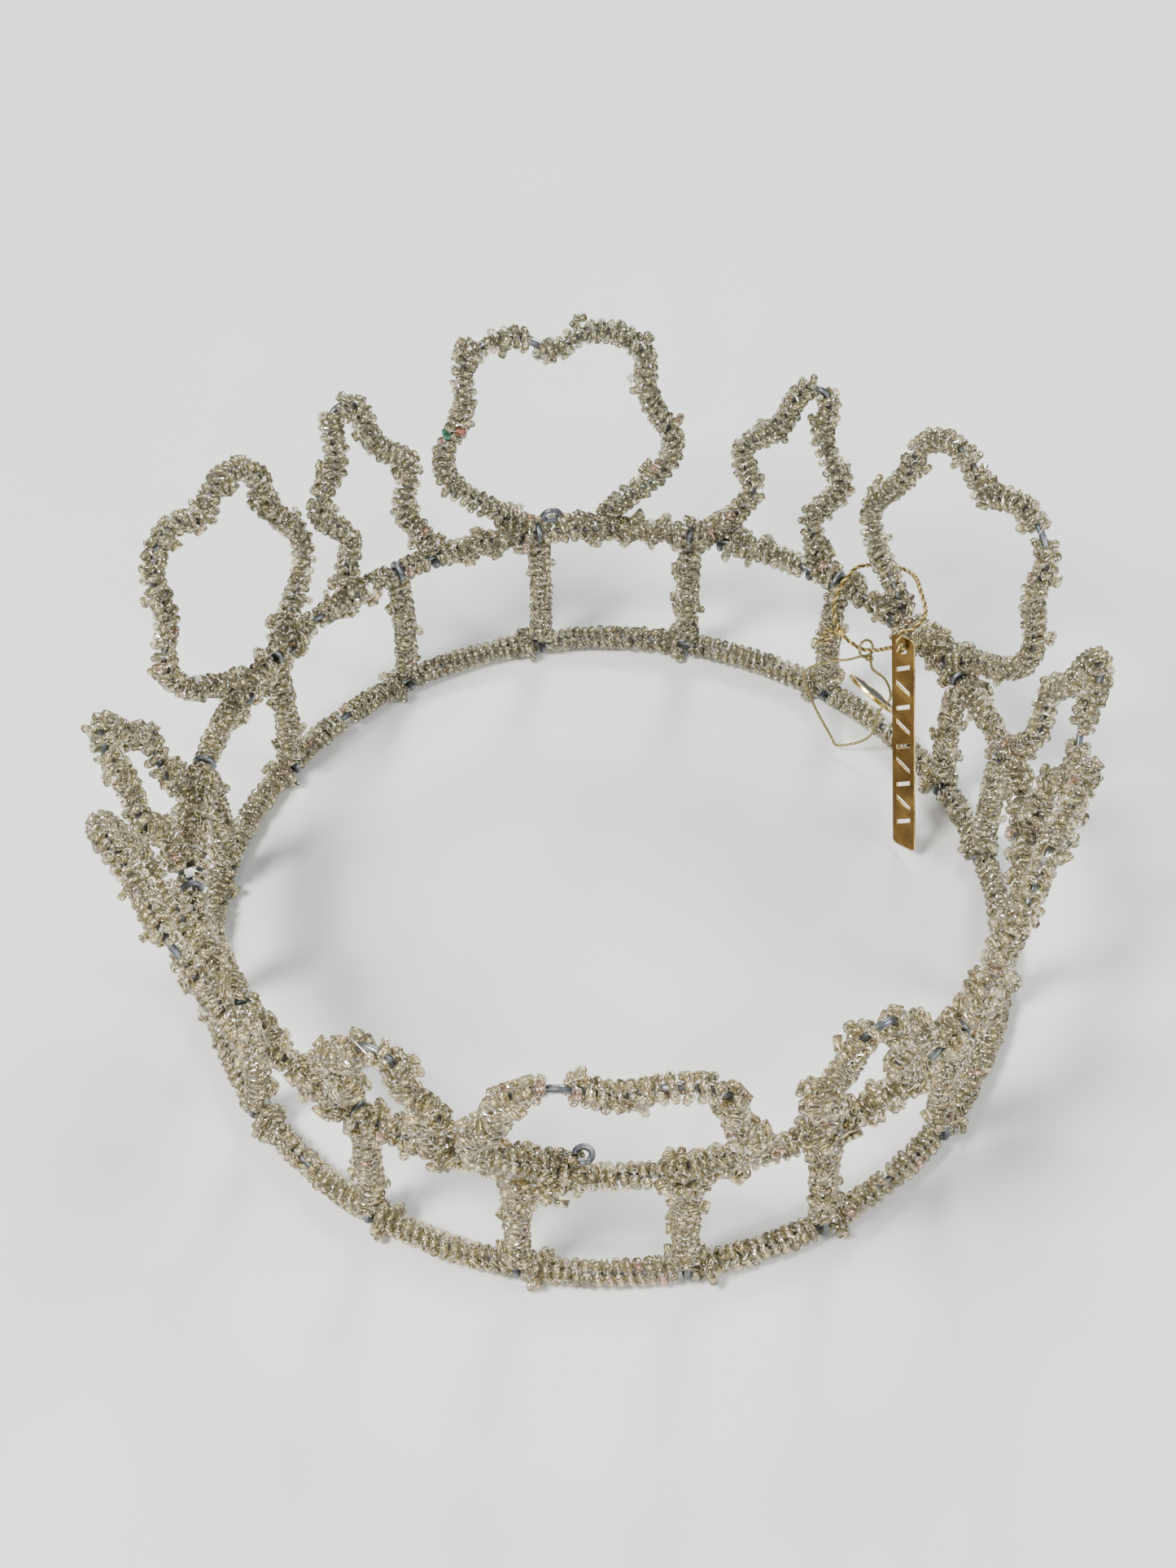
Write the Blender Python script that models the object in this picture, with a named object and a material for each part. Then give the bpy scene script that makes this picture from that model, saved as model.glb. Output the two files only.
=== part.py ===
"""A beaded wire crown with its swing tags.

Two round wires, the lower and the upper ring, are tied together by upright wires whose ends
hook round both rings.  Twelve bent wire ornaments, clouds and spades in turn, hook onto the
upper ring.  Strings of short glass tube beads are wound round every wire, modelled here as
sleeves.  A gold cord behind one cloud's foot carries a brass tag and a thread with a round tag.

Metres, +Z up, +Y towards the back of the crown.  The origin is the centre of the crown, in the
plane of the flat underside that it rests on.
"""
import math

import bmesh
import bpy
from mathutils import Matrix, Vector

MM = 0.001

# Driving dimensions.
RING_RADIUS = 93.0 * MM          # wire centre line of both rings
RING_SPACING = 38.9 * MM         # lower wire to upper wire
WIRE_RADIUS = 0.8 * MM
GAP = 0.3 * MM                   # clearance between any two solids
RING_BEADS_RADIUS = 3.5 * MM     # corner radius of the six-sided sleeve on a ring
POST_BEADS_RADIUS = 3.1 * MM
ORNAMENT_BEADS_RADIUS = 2.9 * MM
FEET_HALF_WIDTH = {"cloud": 9.5 * MM, "spade": 12.0 * MM}

HEXAGON_FLAT = math.cos(math.radians(30))
LOWER_HEIGHT = RING_BEADS_RADIUS * HEXAGON_FLAT     # so that the sleeve's flat is at height 0
UPPER_HEIGHT = LOWER_HEIGHT + RING_SPACING
CHANNEL_RADIUS = (WIRE_RADIUS + GAP) / math.cos(math.radians(45))   # to a square's corner
CHANNEL_PAST = 2.0               # degrees that a ring channel's cutter runs past its sleeve
HOOK_RADIUS = 2.1 * MM           # hook centre line round a ring wire
NECK_LEAD = 4.4 * MM             # where a post leaves its straight line to pass a ring wire
SLOT_REACH = 4.2 * MM            # slots are cut this far out from the ring wire
BRIDGE_EDGE = 1.7 * MM           # the bridge beside a hook starts this far above or below
ENTRY_EDGE = -1.1 * MM           # and this far inside the ring wire
ENTRY_REACH = 4.6 * MM
ENTRY_OVERLAP = 0.5 * MM
POST_LEAD = 1.3 * MM             # how far a post's wire strays along the ring, with clearance
CLOUD_LEAD = (-1.5 * MM, 3.2 * MM)   # the same for a cloud's foot, which strays outwards,
SPADE_LEAD = (-2.4 * MM, 1.5 * MM)   # and a spade's, which strays inwards
RING_STEPS = 40

# The posts stand one sixteenth of a turn apart, off the front and back axis by half a step,
# and each has slipped along the rings by a few degrees.
POST_COUNT = 16
POST_SLIP = (0.1, -7.7, -4.2, -2.4, -1.4, -1.0, 1.2, 1.2,
             1.2, -0.2, 0.4, -1.0, -1.6, -5.0, -5.2, -2.8)
LOWER_STRAND_ENDS = {"back": (40.0, 135.0), "left": (135.0, 225.0),
                     "front": (225.0, 310.0), "right": (310.0, 400.0)}
UPPER_STRAND_ENDS = {"back": (46.5, 138.0), "left": (138.0, 225.0),
                     "front": (225.0, 315.5), "right": (315.5, 406.5)}
STRAND_GAP = 0.6                 # degrees of bare wire between two strands

# Ornaments: place, kind, angle round the ring, outward lean, sideways cant, width and height
# factors.  Each was bent by hand, so no two stand quite alike.
ORNAMENTS = (
    ("back", "cloud", 96.3, 14.0, 0.0, 1.02, 1.00),
    ("back_left", "spade", 124.0, 14.0, -3.0, 0.98, 0.97),
    ("left_back", "cloud", 150.4, 16.0, 2.0, 0.95, 0.90),
    ("left", "spade", 182.0, 20.0, -4.0, 0.95, 0.78),
    ("left_front", "cloud", 210.0, 17.0, 0.0, 1.00, 0.90),
    ("front_left", "spade", 241.0, 12.0, -8.0, 1.00, 0.92),
    ("front", "cloud", 270.3, 14.0, 0.0, 1.00, 1.00),
    ("front_right", "spade", 303.0, 10.0, 9.0, 1.00, 0.92),
    ("right_front", "cloud", 334.0, 7.0, 0.0, 1.00, 0.92),
    ("right", "spade", 362.2, 14.0, 0.0, 0.95, 0.90),
    ("right_back", "cloud", 395.0, 14.0, 3.0, 1.03, 0.92),
    ("back_right", "spade", 424.0, 14.0, 6.0, 1.00, 0.94),
)

# Swing tags.
CORD_RADIUS = 0.5 * MM
THREAD_RADIUS = 0.42 * MM
BRASS_TAG_SIZE = (7.3 * MM, 56.0 * MM, 0.5 * MM)
BRASS_TAG_HOLE_RADIUS = 1.3 * MM
BRASS_TAG_HOLE_FROM_END = 3.0 * MM
BRASS_TAG_SLOTS = 9
ROUND_TAG_RADIUS = 6.0 * MM
ROUND_TAG_THICKNESS = 0.9 * MM
ROUND_TAG_RIM_WIDTH = 0.8 * MM
ROUND_TAG_HOLE_RADIUS = 1.0 * MM
ROUND_TAG_HOLE_OFFSET = 4.2 * MM
EYELET_RADIUS = 2.1 * MM

# Colour, roughness and metallic value of each material.
MATERIALS = {
    "galvanised_wire": ((0.42, 0.44, 0.46), 0.42, 0.9),
    "glass_beads": ((0.66, 0.62, 0.50), 0.22, 0.3),
    "gold_cord": ((0.52, 0.38, 0.13), 0.40, 0.7),
    "brass": ((0.50, 0.34, 0.11), 0.25, 1.0),
    "thread": ((0.33, 0.28, 0.14), 0.50, 0.3),
    "black_enamel": ((0.02, 0.02, 0.02), 0.25, 0.0),
}


# --- Scene helpers -----------------------------------------------------------------------

def clear_scene():
    for item in list(bpy.data.objects):
        bpy.data.objects.remove(item, do_unlink=True)


def make_collection(name):
    collection = bpy.data.collections.new(name)
    bpy.context.scene.collection.children.link(collection)
    return collection


def make_material(name):
    colour, roughness, metallic = MATERIALS[name]
    material = bpy.data.materials.new(name)
    material.use_nodes = True
    shader = material.node_tree.nodes["Principled BSDF"]
    shader.inputs["Base Color"].default_value = (*colour, 1.0)
    shader.inputs["Roughness"].default_value = roughness
    shader.inputs["Metallic"].default_value = metallic
    return material


def finish(item, material):
    """Gives a mesh or a curve its material, and a mesh its smooth round faces."""
    item.data.materials.clear()
    item.data.materials.append(materials[material])
    if item.type == "MESH":
        item.data.shade_smooth()
        item.data.set_sharp_from_angle(angle=math.radians(50))
    return item


# --- Tubes and plates --------------------------------------------------------------------

def tube(name, points, radius, closed=False, sides=6):
    """A round rod along a line of points: a POLY curve with a bevel and filled ends."""
    curve = bpy.data.curves.new(name, "CURVE")
    curve.dimensions = "3D"
    curve.bevel_depth = radius
    curve.bevel_resolution = sides // 2 - 2
    curve.use_fill_caps = True
    spline = curve.splines.new("POLY")
    spline.points.add(len(points) - 1)
    for knot, place in zip(spline.points, points):
        knot.co = (*place, 1.0)
    spline.use_cyclic_u = closed
    item = bpy.data.objects.new(name, curve)
    parts.objects.link(item)
    return item


def as_mesh(item):
    """Replaces a curve object by a mesh object of the same name with its caps welded on."""
    bpy.context.view_layer.update()
    graph = bpy.context.evaluated_depsgraph_get()
    mesh = bpy.data.meshes.new_from_object(item.evaluated_get(graph))
    work = bmesh.new()
    work.from_mesh(mesh)
    bmesh.ops.remove_doubles(work, verts=work.verts, dist=0.001 * MM)
    bmesh.ops.recalc_face_normals(work, faces=work.faces)
    work.to_mesh(mesh)
    work.free()
    name = item.name
    place = item.matrix_world.copy()
    bpy.data.objects.remove(item, do_unlink=True)
    solid = bpy.data.objects.new(name, mesh)
    solid.matrix_world = place
    parts.objects.link(solid)
    return solid


def combine(target, tool, operation):
    """Joins a tool to a target, or cuts it away, and moves the tool to the cutters."""
    step = target.modifiers.new(f"{operation.lower()} {tool.name}", "BOOLEAN")
    step.operation = operation
    step.solver = "EXACT"
    step.object = tool
    if tool.name not in cutters.objects:
        parts.objects.unlink(tool)
        cutters.objects.link(tool)
    tool.hide_render = True
    tool.display_type = "WIRE"


def plate(name, outlines, thickness):
    """A flat piece from closed outlines in X and Y; an outline inside another is a hole."""
    curve = bpy.data.curves.new(name, "CURVE")
    curve.dimensions = "2D"
    curve.fill_mode = "BOTH"
    curve.extrude = thickness / 2
    for outline in outlines:
        spline = curve.splines.new("POLY")
        spline.points.add(len(outline) - 1)
        for knot, (x, y) in zip(spline.points, outline):
            knot.co = (x, y, 0.0, 1.0)
        spline.use_cyclic_u = True
    item = bpy.data.objects.new(name, curve)
    parts.objects.link(item)
    return item


def arc(centre, radius, start, stop, steps):
    """Points on an arc in two dimensions, from one angle in degrees to another."""
    angles = [math.radians(start + (stop - start) * i / steps) for i in range(steps + 1)]
    return [(centre[0] + radius * math.cos(a), centre[1] + radius * math.sin(a)) for a in angles]


def ring_point(angle, out=0.0, height=0.0):
    """A point by its angle round the crown, distance outside the ring line, and height."""
    a = math.radians(angle)
    reach = RING_RADIUS + out
    return Vector((reach * math.cos(a), reach * math.sin(a), height))


def ring_arc(start, stop, height):
    steps = max(2, round(RING_STEPS * (stop - start) / 360))
    return [ring_point(start + (stop - start) * i / steps, 0.0, height) for i in range(steps + 1)]


# --- Paths of the bent wires -------------------------------------------------------------

def hook(angle, height, way, start, stop, steps):
    """A hook round a ring wire, in the upright plane at an angle; way -1 turns it over."""
    turned = arc((0.0, 0.0), HOOK_RADIUS, start, stop, steps)
    return [ring_point(angle, out, height + way * rise) for out, rise in turned]


def post_path(angle):
    """Up from a hook under the lower ring to a hook over the upper ring."""
    below = hook(angle, LOWER_HEIGHT, -1, -15.0, 195.0, 4)
    above = hook(angle, UPPER_HEIGHT, 1, -15.0, 195.0, 4)
    neck_out, neck_rise = 1.5 * MM, 2.5 * MM
    lower_neck = [ring_point(angle, neck_out, LOWER_HEIGHT + neck_rise),
                  ring_point(angle, 0.0, LOWER_HEIGHT + NECK_LEAD)]
    upper_neck = [ring_point(angle, 0.0, UPPER_HEIGHT - NECK_LEAD),
                  ring_point(angle, neck_out, UPPER_HEIGHT - neck_rise)]
    return below[::-1] + lower_neck + upper_neck + above


def cloud_half():
    """Right half of a cloud, from its foot to the dip on top: two lobes, as width and height."""
    low_lobe = arc((15.5 * MM, 21.5 * MM), 12.0 * MM, -60.0, 44.0, 4)
    high_lobe = arc((10.5 * MM, 41.5 * MM), 11.5 * MM, -20.0, 128.0, 4)
    return [(15.5 * MM, 7.6 * MM)] + low_lobe + high_lobe + [(0.0, 47.6 * MM)]


def spade_half():
    """Right half of a spade: a neck, a side lobe, a narrow shoulder and half of the tip."""
    lobe = arc((7.6 * MM, 26.0 * MM), 5.4 * MM, -55.0, 58.0, 3)
    neck = [(10.6 * MM, 8.0 * MM), (7.6 * MM, 15.5 * MM)]
    shoulder = [(5.7 * MM, 36.5 * MM), (4.1 * MM, 46.0 * MM)]
    return neck + lobe + shoulder + [(2.2 * MM, 49.6 * MM)]


def outline_of(kind):
    """The whole open outline from the right foot to the left foot."""
    half = cloud_half() if kind == "cloud" else spade_half()
    if half[-1][0] > 0:
        return half + [(-x, y) for x, y in reversed(half)]
    return half + [(-x, y) for x, y in reversed(half[:-1])]


def ornament_path(kind, angle, lean, cant, wide, tall):
    """The bent wire in space, without its feet, leaning out from the upper ring."""
    radial = ring_point(angle).normalized()
    along = Vector((-radial.y, radial.x, 0.0))
    upward = Vector((0, 0, math.cos(math.radians(lean)))) + radial * math.sin(math.radians(lean))
    foot = ring_point(angle, 0.0, UPPER_HEIGHT)
    cant = math.radians(cant)
    path = []
    for x, y in outline_of(kind):
        x, y = x * wide, y * tall
        side = x * math.cos(cant) + y * math.sin(cant)
        rise = y * math.cos(cant) - x * math.sin(cant)
        path.append(foot - along * side + upward * rise)
    return path


def foot_spread(kind, wide):
    """How far round the ring a foot stands from the middle of its ornament, in degrees."""
    return math.degrees(FEET_HALF_WIDTH[kind] * wide / RING_RADIUS)


def feet_paths(kind, angle, wide):
    """The hooks of the right and left feet, which come down outside the ring and go under."""
    spread = foot_spread(kind, wide)
    return [hook(angle + side * spread, UPPER_HEIGHT, 1, 45.0, -195.0, 5) for side in (-1, 1)]


def along_path(path, start, stop):
    """The stretch of a path between two distances, the second measured from its end."""
    lengths = [(b - a).length for a, b in zip(path, path[1:])]
    total = sum(lengths)
    marks, run = [0.0], 0.0
    for length in lengths:
        run += length
        marks.append(run)

    def at(distance):
        for a, b, low, high in zip(path, path[1:], marks, marks[1:]):
            if distance <= high:
                return a.lerp(b, (distance - low) / (high - low))
        return path[-1]

    low, high = start, total - stop
    clear = 1.2 * MM
    inside = [p for p, mark in zip(path, marks) if low + clear < mark < high - clear]
    return [at(low)] + inside + [at(high)]


# --- Sub-parts of the crown --------------------------------------------------------------

def post_angles():
    step = 360 / POST_COUNT
    return [(i + 0.5) * step + slip for i, slip in enumerate(POST_SLIP)]


def make_rings():
    """The two ring wires, each a closed hoop."""
    for name, height in (("lower_ring_wire", LOWER_HEIGHT), ("upper_ring_wire", UPPER_HEIGHT)):
        hoop = ring_arc(0.0, 360.0, height)[:-1]
        finish(tube(name, hoop, WIRE_RADIUS, closed=True), "galvanised_wire")


def make_posts():
    """The upright wires, all bent alike and stood at their own angles round the crown."""
    for number, angle in enumerate(post_angles(), 1):
        post = tube(f"post_wire_{number:02d}", post_path(0.0), WIRE_RADIUS)
        post.rotation_euler.z = math.radians(angle)
        finish(post, "galvanised_wire")


def ring_sleeve(name, start, stop, height):
    """A strand wound along a ring from one angle to another, flat above and below."""
    line = ring_arc(start + STRAND_GAP / 2, stop - STRAND_GAP / 2, height)
    return as_mesh(tube(name, line, RING_BEADS_RADIUS))


def cut_channel(sleeve, label, points):
    """Clears a square channel for the wire inside a sleeve."""
    combine(sleeve, as_mesh(tube(label, points, CHANNEL_RADIUS, sides=4)), "DIFFERENCE")


def slot_box(label, angle, height, out, along, rise):
    """A box on a ring wire, given by its reach outwards, along the ring and upwards."""
    spans = (out, along, rise)
    size = Vector([high - low for low, high in spans])
    middle = Vector([(high + low) / 2 for low, high in spans])
    mesh = bpy.data.meshes.new(label)
    work = bmesh.new()
    bmesh.ops.create_cube(work, size=1.0, matrix=Matrix.Translation(middle) @ Matrix.Diagonal(
        (*size, 1.0)))
    work.to_mesh(mesh)
    work.free()
    box = bpy.data.objects.new(label, mesh)
    box.location = ring_point(angle, 0.0, height)
    box.rotation_euler.z = math.radians(angle)
    parts.objects.link(box)
    return box


def cut_hook_slots(sleeve, label, angle, height, way, lead):
    """Opens a sleeve round a hook: all but a bridge on its inner side, opposite the bend.

    The bend passes over the ring wire if way is 1 and under it if way is -1, and lead is how
    far along the ring the wire strays while it runs in on the outer side.
    """
    half = WIRE_RADIUS + GAP
    bend = sorted((way * SLOT_REACH, -way * BRIDGE_EDGE))
    entry = sorted((way * ENTRY_OVERLAP, -way * ENTRY_REACH))
    side = (-SLOT_REACH, SLOT_REACH)
    slot = slot_box(f"{label} bend", angle, height, side, (-half, half), bend)
    reach = (ENTRY_EDGE, ENTRY_REACH)
    combine(slot, slot_box(f"{label} entry", angle, height, reach, lead, entry), "UNION")
    combine(sleeve, slot, "DIFFERENCE")


def within(angle, start, stop):
    return any(start < angle + turn < stop for turn in (-360, 0, 360))


def make_lower_strands():
    """Four strands on the lower ring, each running on up the posts of its quarter."""
    post_top = UPPER_HEIGHT - NECK_LEAD - GAP
    for place, (start, stop) in LOWER_STRAND_ENDS.items():
        sleeve = ring_sleeve(f"lower_strand_{place}", start, stop, LOWER_HEIGHT)
        standing = [angle for angle in post_angles() if within(angle, start, stop)]
        for angle in standing:
            label = f"post sleeve {place} {angle:.0f}"
            line = [ring_point(angle, 0.0, LOWER_HEIGHT), ring_point(angle, 0.0, post_top)]
            combine(sleeve, as_mesh(tube(label, line, POST_BEADS_RADIUS)), "UNION")
        cut_channel(sleeve, f"lower wire channel {place}",
                    ring_arc(start - CHANNEL_PAST, stop + CHANNEL_PAST, LOWER_HEIGHT))
        for angle in standing:
            label = f"post channel {place} {angle:.0f}"
            cut_channel(sleeve, label, [ring_point(angle, 0.0, LOWER_HEIGHT + NECK_LEAD),
                                        ring_point(angle, 0.0, UPPER_HEIGHT)])
            cut_hook_slots(sleeve, label, angle, LOWER_HEIGHT, -1, (-POST_LEAD, POST_LEAD))
        finish(sleeve, "glass_beads")


def make_upper_strands():
    """Four strands on the upper ring, open where the posts and the feet hook round it."""
    for place, (start, stop) in UPPER_STRAND_ENDS.items():
        sleeve = ring_sleeve(f"upper_strand_{place}", start, stop, UPPER_HEIGHT)
        cut_channel(sleeve, f"upper wire channel {place}",
                    ring_arc(start - CHANNEL_PAST, stop + CHANNEL_PAST, UPPER_HEIGHT))
        for angle in post_angles():
            if within(angle, start, stop):
                label = f"post hook {place} {angle:.0f}"
                cut_hook_slots(sleeve, label, angle, UPPER_HEIGHT, 1, (-POST_LEAD, POST_LEAD))
        for name, kind, angle, lean, cant, wide, tall in ORNAMENTS:
            for side in (-1, 1):
                foot = angle + side * foot_spread(kind, wide)
                if within(foot, start, stop):
                    outward = CLOUD_LEAD if kind == "cloud" else SPADE_LEAD
                    lead = outward if side > 0 else (-outward[1], -outward[0])
                    cut_hook_slots(sleeve, f"foot hook {name} {side}", foot, UPPER_HEIGHT, -1, lead)
        finish(sleeve, "glass_beads")


def make_ornaments():
    """The bent wires and the strands wound round them, which stop short of the ring."""
    for name, kind, angle, lean, cant, wide, tall in ORNAMENTS:
        path = ornament_path(kind, angle, lean, cant, wide, tall)
        right_foot, left_foot = feet_paths(kind, angle, wide)
        wire = tube(f"{kind}_wire_{name}", right_foot[::-1] + path + left_foot, WIRE_RADIUS)
        finish(wire, "galvanised_wire")
        bare = 0.6 * MM
        line = along_path(path, bare, bare)
        sleeve = as_mesh(tube(f"{kind}_beads_{name}", line, ORNAMENT_BEADS_RADIUS))
        label = f"{kind} channel {name}"
        ends = [right_foot[0]] + path + [left_foot[0]]
        cut_channel(sleeve, label, ends)
        finish(sleeve, "glass_beads")


# --- Swing tags --------------------------------------------------------------------------

def make_pivot(name, place):
    """An empty on a joint's axis, which the pieces that turn there are parented to."""
    pivot = bpy.data.objects.new(name, None)
    pivot.location = place
    parts.objects.link(pivot)
    return pivot


def hang(item, pivot, turn=None):
    """Parents a piece to its pivot, with its own turn if it was drawn flat."""
    item.parent = pivot
    if turn is not None:
        item.matrix_local = turn
    return item


def frame_of(along, face):
    """A rotation whose Y runs against a piece's length and whose Z is its face normal."""
    y = -along.normalized()
    z = (face - y * face.dot(y)).normalized()
    x = y.cross(z)
    return Matrix((x, y, z)).transposed().to_4x4()


def brass_tag_frame():
    """The brass tag's hole and attitude: it leans in, its lower end just off the ground."""
    hole = ring_point(31.1, -11.95 * MM, 51.2 * MM)
    end = ring_point(17.9, -16.9 * MM, 3.4 * MM)
    face = Vector((0.787, 0.587, -0.187))
    return hole, frame_of(end - hole, face)


def brass_tag_outlines():
    """A rounded bar with a hole near its top end and a column of slanted slots."""
    width, length, _ = BRASS_TAG_SIZE
    top = BRASS_TAG_HOLE_FROM_END
    corner = 1.2 * MM
    outline = []
    for x, y, start in ((1, 1, 0.0), (-1, 1, 90.0), (-1, -1, 180.0), (1, -1, 270.0)):
        centre = (x * (width / 2 - corner), (top if y > 0 else top - length) - y * corner)
        outline += arc(centre, corner, start, start + 90.0, 2)
    hole = arc((0.0, 0.0), BRASS_TAG_HOLE_RADIUS, 0.0, 330.0, 11)
    outlines = [outline, hole]
    pitch = (length - 10.0 * MM) / BRASS_TAG_SLOTS
    slot_half, bar_half, slant = 2.2 * MM, 0.55 * MM, 1.0 * MM
    for i in range(BRASS_TAG_SLOTS):
        y = -5.0 * MM - pitch * i
        rise = slant if i % 2 else -slant
        outlines.append([(-slot_half, y - rise - bar_half), (slot_half, y + rise - bar_half),
                         (slot_half, y + rise + bar_half), (-slot_half, y - rise + bar_half)])
    return outlines


def cord_points():
    """The gold cord: up from the tag, out behind the cloud's foot, back in over the ring."""
    hole, attitude = brass_tag_frame()
    up = attitude.to_3x3() @ Vector((0, 1, 0))
    face = attitude.to_3x3() @ Vector((0, 0, 1))
    through = 1.5 * MM
    over = 4.6 * MM
    start = [hole + face * through, hole - face * through,
             hole - face * through * 0.9 + up * over * 0.8, hole + up * over,
             hole + face * through + up * over * 0.85]
    loop = ((33.0, -4.0, 55.0), (38.0, 1.6, 54.5), (42.5, 7.4, 50.0), (45.6, 9.0, 47.4),
            (48.4, 7.6, 45.8), (49.8, 2.8, 47.2), (49.8, -2.2, 47.4), (49.7, -5.8, 45.0),
            (49.4, -7.4, 40.5), (47.4, -8.0, 35.6), (43.9, -7.2, 33.4), (40.6, -7.4, 36.4),
            (36.9, -8.0, 42.0))
    rest = [ring_point(angle, out * MM, height * MM) for angle, out, height in loop]
    return start + rest


def eyelet_frame():
    """Where the thread's eyelet goes round the cord, and the cord's direction there."""
    points = cord_points()
    low, high = points[-3], points[-2]
    return low.lerp(high, 0.5), (high - low).normalized()


def thread_points(hole, face):
    """The thread's loop, from its knot down the left, along the ground and up the right."""
    centre, along = eyelet_frame()
    knot = centre - Vector((0, 0, 1)).cross(along).cross(along).normalized() * -EYELET_RADIUS
    left = ((45.6, -7.4, 27.4), (48.6, -9.4, 25.0), (52.6, -10.4, 18.0), (50.2, -11.4, 11.0),
            (42.6, -12.2, 1.9), (40.3, -9.0, 3.4), (38.8, -7.4, 8.0))
    down = [ring_point(angle, out * MM, height * MM) for angle, out, height in left]
    right = ((39.4, -4.2, 25.5), (41.0, -6.2, 28.4))
    back = [ring_point(angle, out * MM, height * MM) for angle, out, height in right]
    reach = 2.0 * MM
    return knot, [knot] + down + [hole - face * reach, hole + face * reach] + back


def round_tag_frame():
    """The round tag's hole and attitude: nearly edge on to the front."""
    hole = ring_point(38.4, -4.6 * MM, 17.8 * MM)
    far = ring_point(44.9, -6.2 * MM, 21.2 * MM)
    return hole, frame_of(far - hole, Vector((0.48, 0.48, 0.63)))


def make_cord_and_brass_tag():
    pivot_place = ring_point(44.0, 0.0, UPPER_HEIGHT)
    pivot = make_pivot("cord_pivot", pivot_place)
    line = [point - pivot_place for point in cord_points()]
    hang(finish(tube("gold_cord", line, CORD_RADIUS, closed=True), "gold_cord"), pivot)
    hole, attitude = brass_tag_frame()
    tag = plate("brass_tag", brass_tag_outlines(), BRASS_TAG_SIZE[2])
    hang(finish(tag, "brass"), make_pivot("brass_tag_pivot", hole), attitude)


def make_thread_and_round_tag():
    hole, attitude = round_tag_frame()
    face = attitude.to_3x3() @ Vector((0, 0, 1))
    centre, along = eyelet_frame()
    pivot = make_pivot("thread_pivot", centre)
    knot, line = thread_points(hole, face)
    loop = as_mesh(tube("thread_loop", [p - centre for p in line], THREAD_RADIUS, closed=True))
    across = (knot - centre).normalized()
    side = along.cross(across)
    ring = [across * x + side * y for x, y in arc((0, 0), EYELET_RADIUS, 0.0, 330.0, 11)]
    eyelet = as_mesh(tube("eyelet", ring, THREAD_RADIUS, closed=True))
    bpy.ops.mesh.primitive_ico_sphere_add(subdivisions=2, radius=1.0 * MM, location=knot - centre)
    ball = bpy.context.object
    ball.name = "thread knot"
    for home in list(ball.users_collection):
        home.objects.unlink(ball)
    parts.objects.link(ball)
    for tool in (eyelet, ball):
        combine(loop, tool, "UNION")
        hang(tool, pivot)
    hang(finish(loop, "thread"), pivot)

    radius, middle = ROUND_TAG_RADIUS, (0.0, -ROUND_TAG_HOLE_OFFSET)
    turn_steps = 24
    edge = arc(middle, radius, 0.0, 360.0 - 360.0 / turn_steps, turn_steps - 1)
    bore = arc((0.0, 0.0), ROUND_TAG_HOLE_RADIUS, 0.0, 324.0, 9)
    inner = arc(middle, radius + GAP, 0.0, 360.0 - 360.0 / turn_steps, turn_steps - 1)
    outer = arc(middle, radius + GAP + ROUND_TAG_RIM_WIDTH, 0.0, 360.0 - 360.0 / turn_steps,
                turn_steps - 1)
    pivot = make_pivot("round_tag_pivot", hole)
    disc = plate("round_tag_disc", [edge, bore], ROUND_TAG_THICKNESS)
    rim = plate("round_tag_rim", [outer, inner], ROUND_TAG_THICKNESS * 1.3)
    hang(finish(disc, "black_enamel"), pivot, attitude)
    hang(finish(rim, "brass"), pivot, attitude)


clear_scene()
parts = make_collection("beaded_crown")
cutters = make_collection("cutters")
materials = {name: make_material(name) for name in MATERIALS}
make_rings()
make_posts()
make_lower_strands()
make_upper_strands()
make_ornaments()
make_cord_and_brass_tag()
make_thread_and_round_tag()
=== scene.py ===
"""The looks of a beaded wire crown: smooth bent wires, each strand's glass tube beads laid one by
one on their fine wire, twisted cords and two swing tags, on a pale floor in soft light."""
import math

import bpy
import numpy as np
from mathutils import Matrix, Vector, kdtree


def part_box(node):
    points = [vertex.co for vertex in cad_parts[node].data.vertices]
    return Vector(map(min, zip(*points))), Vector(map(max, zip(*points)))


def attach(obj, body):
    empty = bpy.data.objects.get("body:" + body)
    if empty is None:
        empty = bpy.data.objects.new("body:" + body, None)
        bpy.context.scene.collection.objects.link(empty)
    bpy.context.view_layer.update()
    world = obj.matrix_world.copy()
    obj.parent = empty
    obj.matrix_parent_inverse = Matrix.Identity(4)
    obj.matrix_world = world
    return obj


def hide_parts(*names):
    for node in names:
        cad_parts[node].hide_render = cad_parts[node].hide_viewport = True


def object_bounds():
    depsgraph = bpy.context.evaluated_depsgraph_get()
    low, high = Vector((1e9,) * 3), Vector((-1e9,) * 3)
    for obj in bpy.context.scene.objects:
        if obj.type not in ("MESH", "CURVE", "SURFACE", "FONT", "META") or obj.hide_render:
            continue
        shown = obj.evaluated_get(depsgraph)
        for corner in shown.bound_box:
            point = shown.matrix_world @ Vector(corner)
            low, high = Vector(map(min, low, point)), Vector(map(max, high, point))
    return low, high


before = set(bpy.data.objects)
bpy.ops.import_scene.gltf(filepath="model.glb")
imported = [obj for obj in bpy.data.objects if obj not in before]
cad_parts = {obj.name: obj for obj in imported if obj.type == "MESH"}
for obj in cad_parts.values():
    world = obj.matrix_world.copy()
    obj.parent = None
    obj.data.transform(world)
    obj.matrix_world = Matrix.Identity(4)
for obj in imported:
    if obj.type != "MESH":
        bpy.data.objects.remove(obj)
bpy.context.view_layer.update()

MM = 0.001

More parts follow.
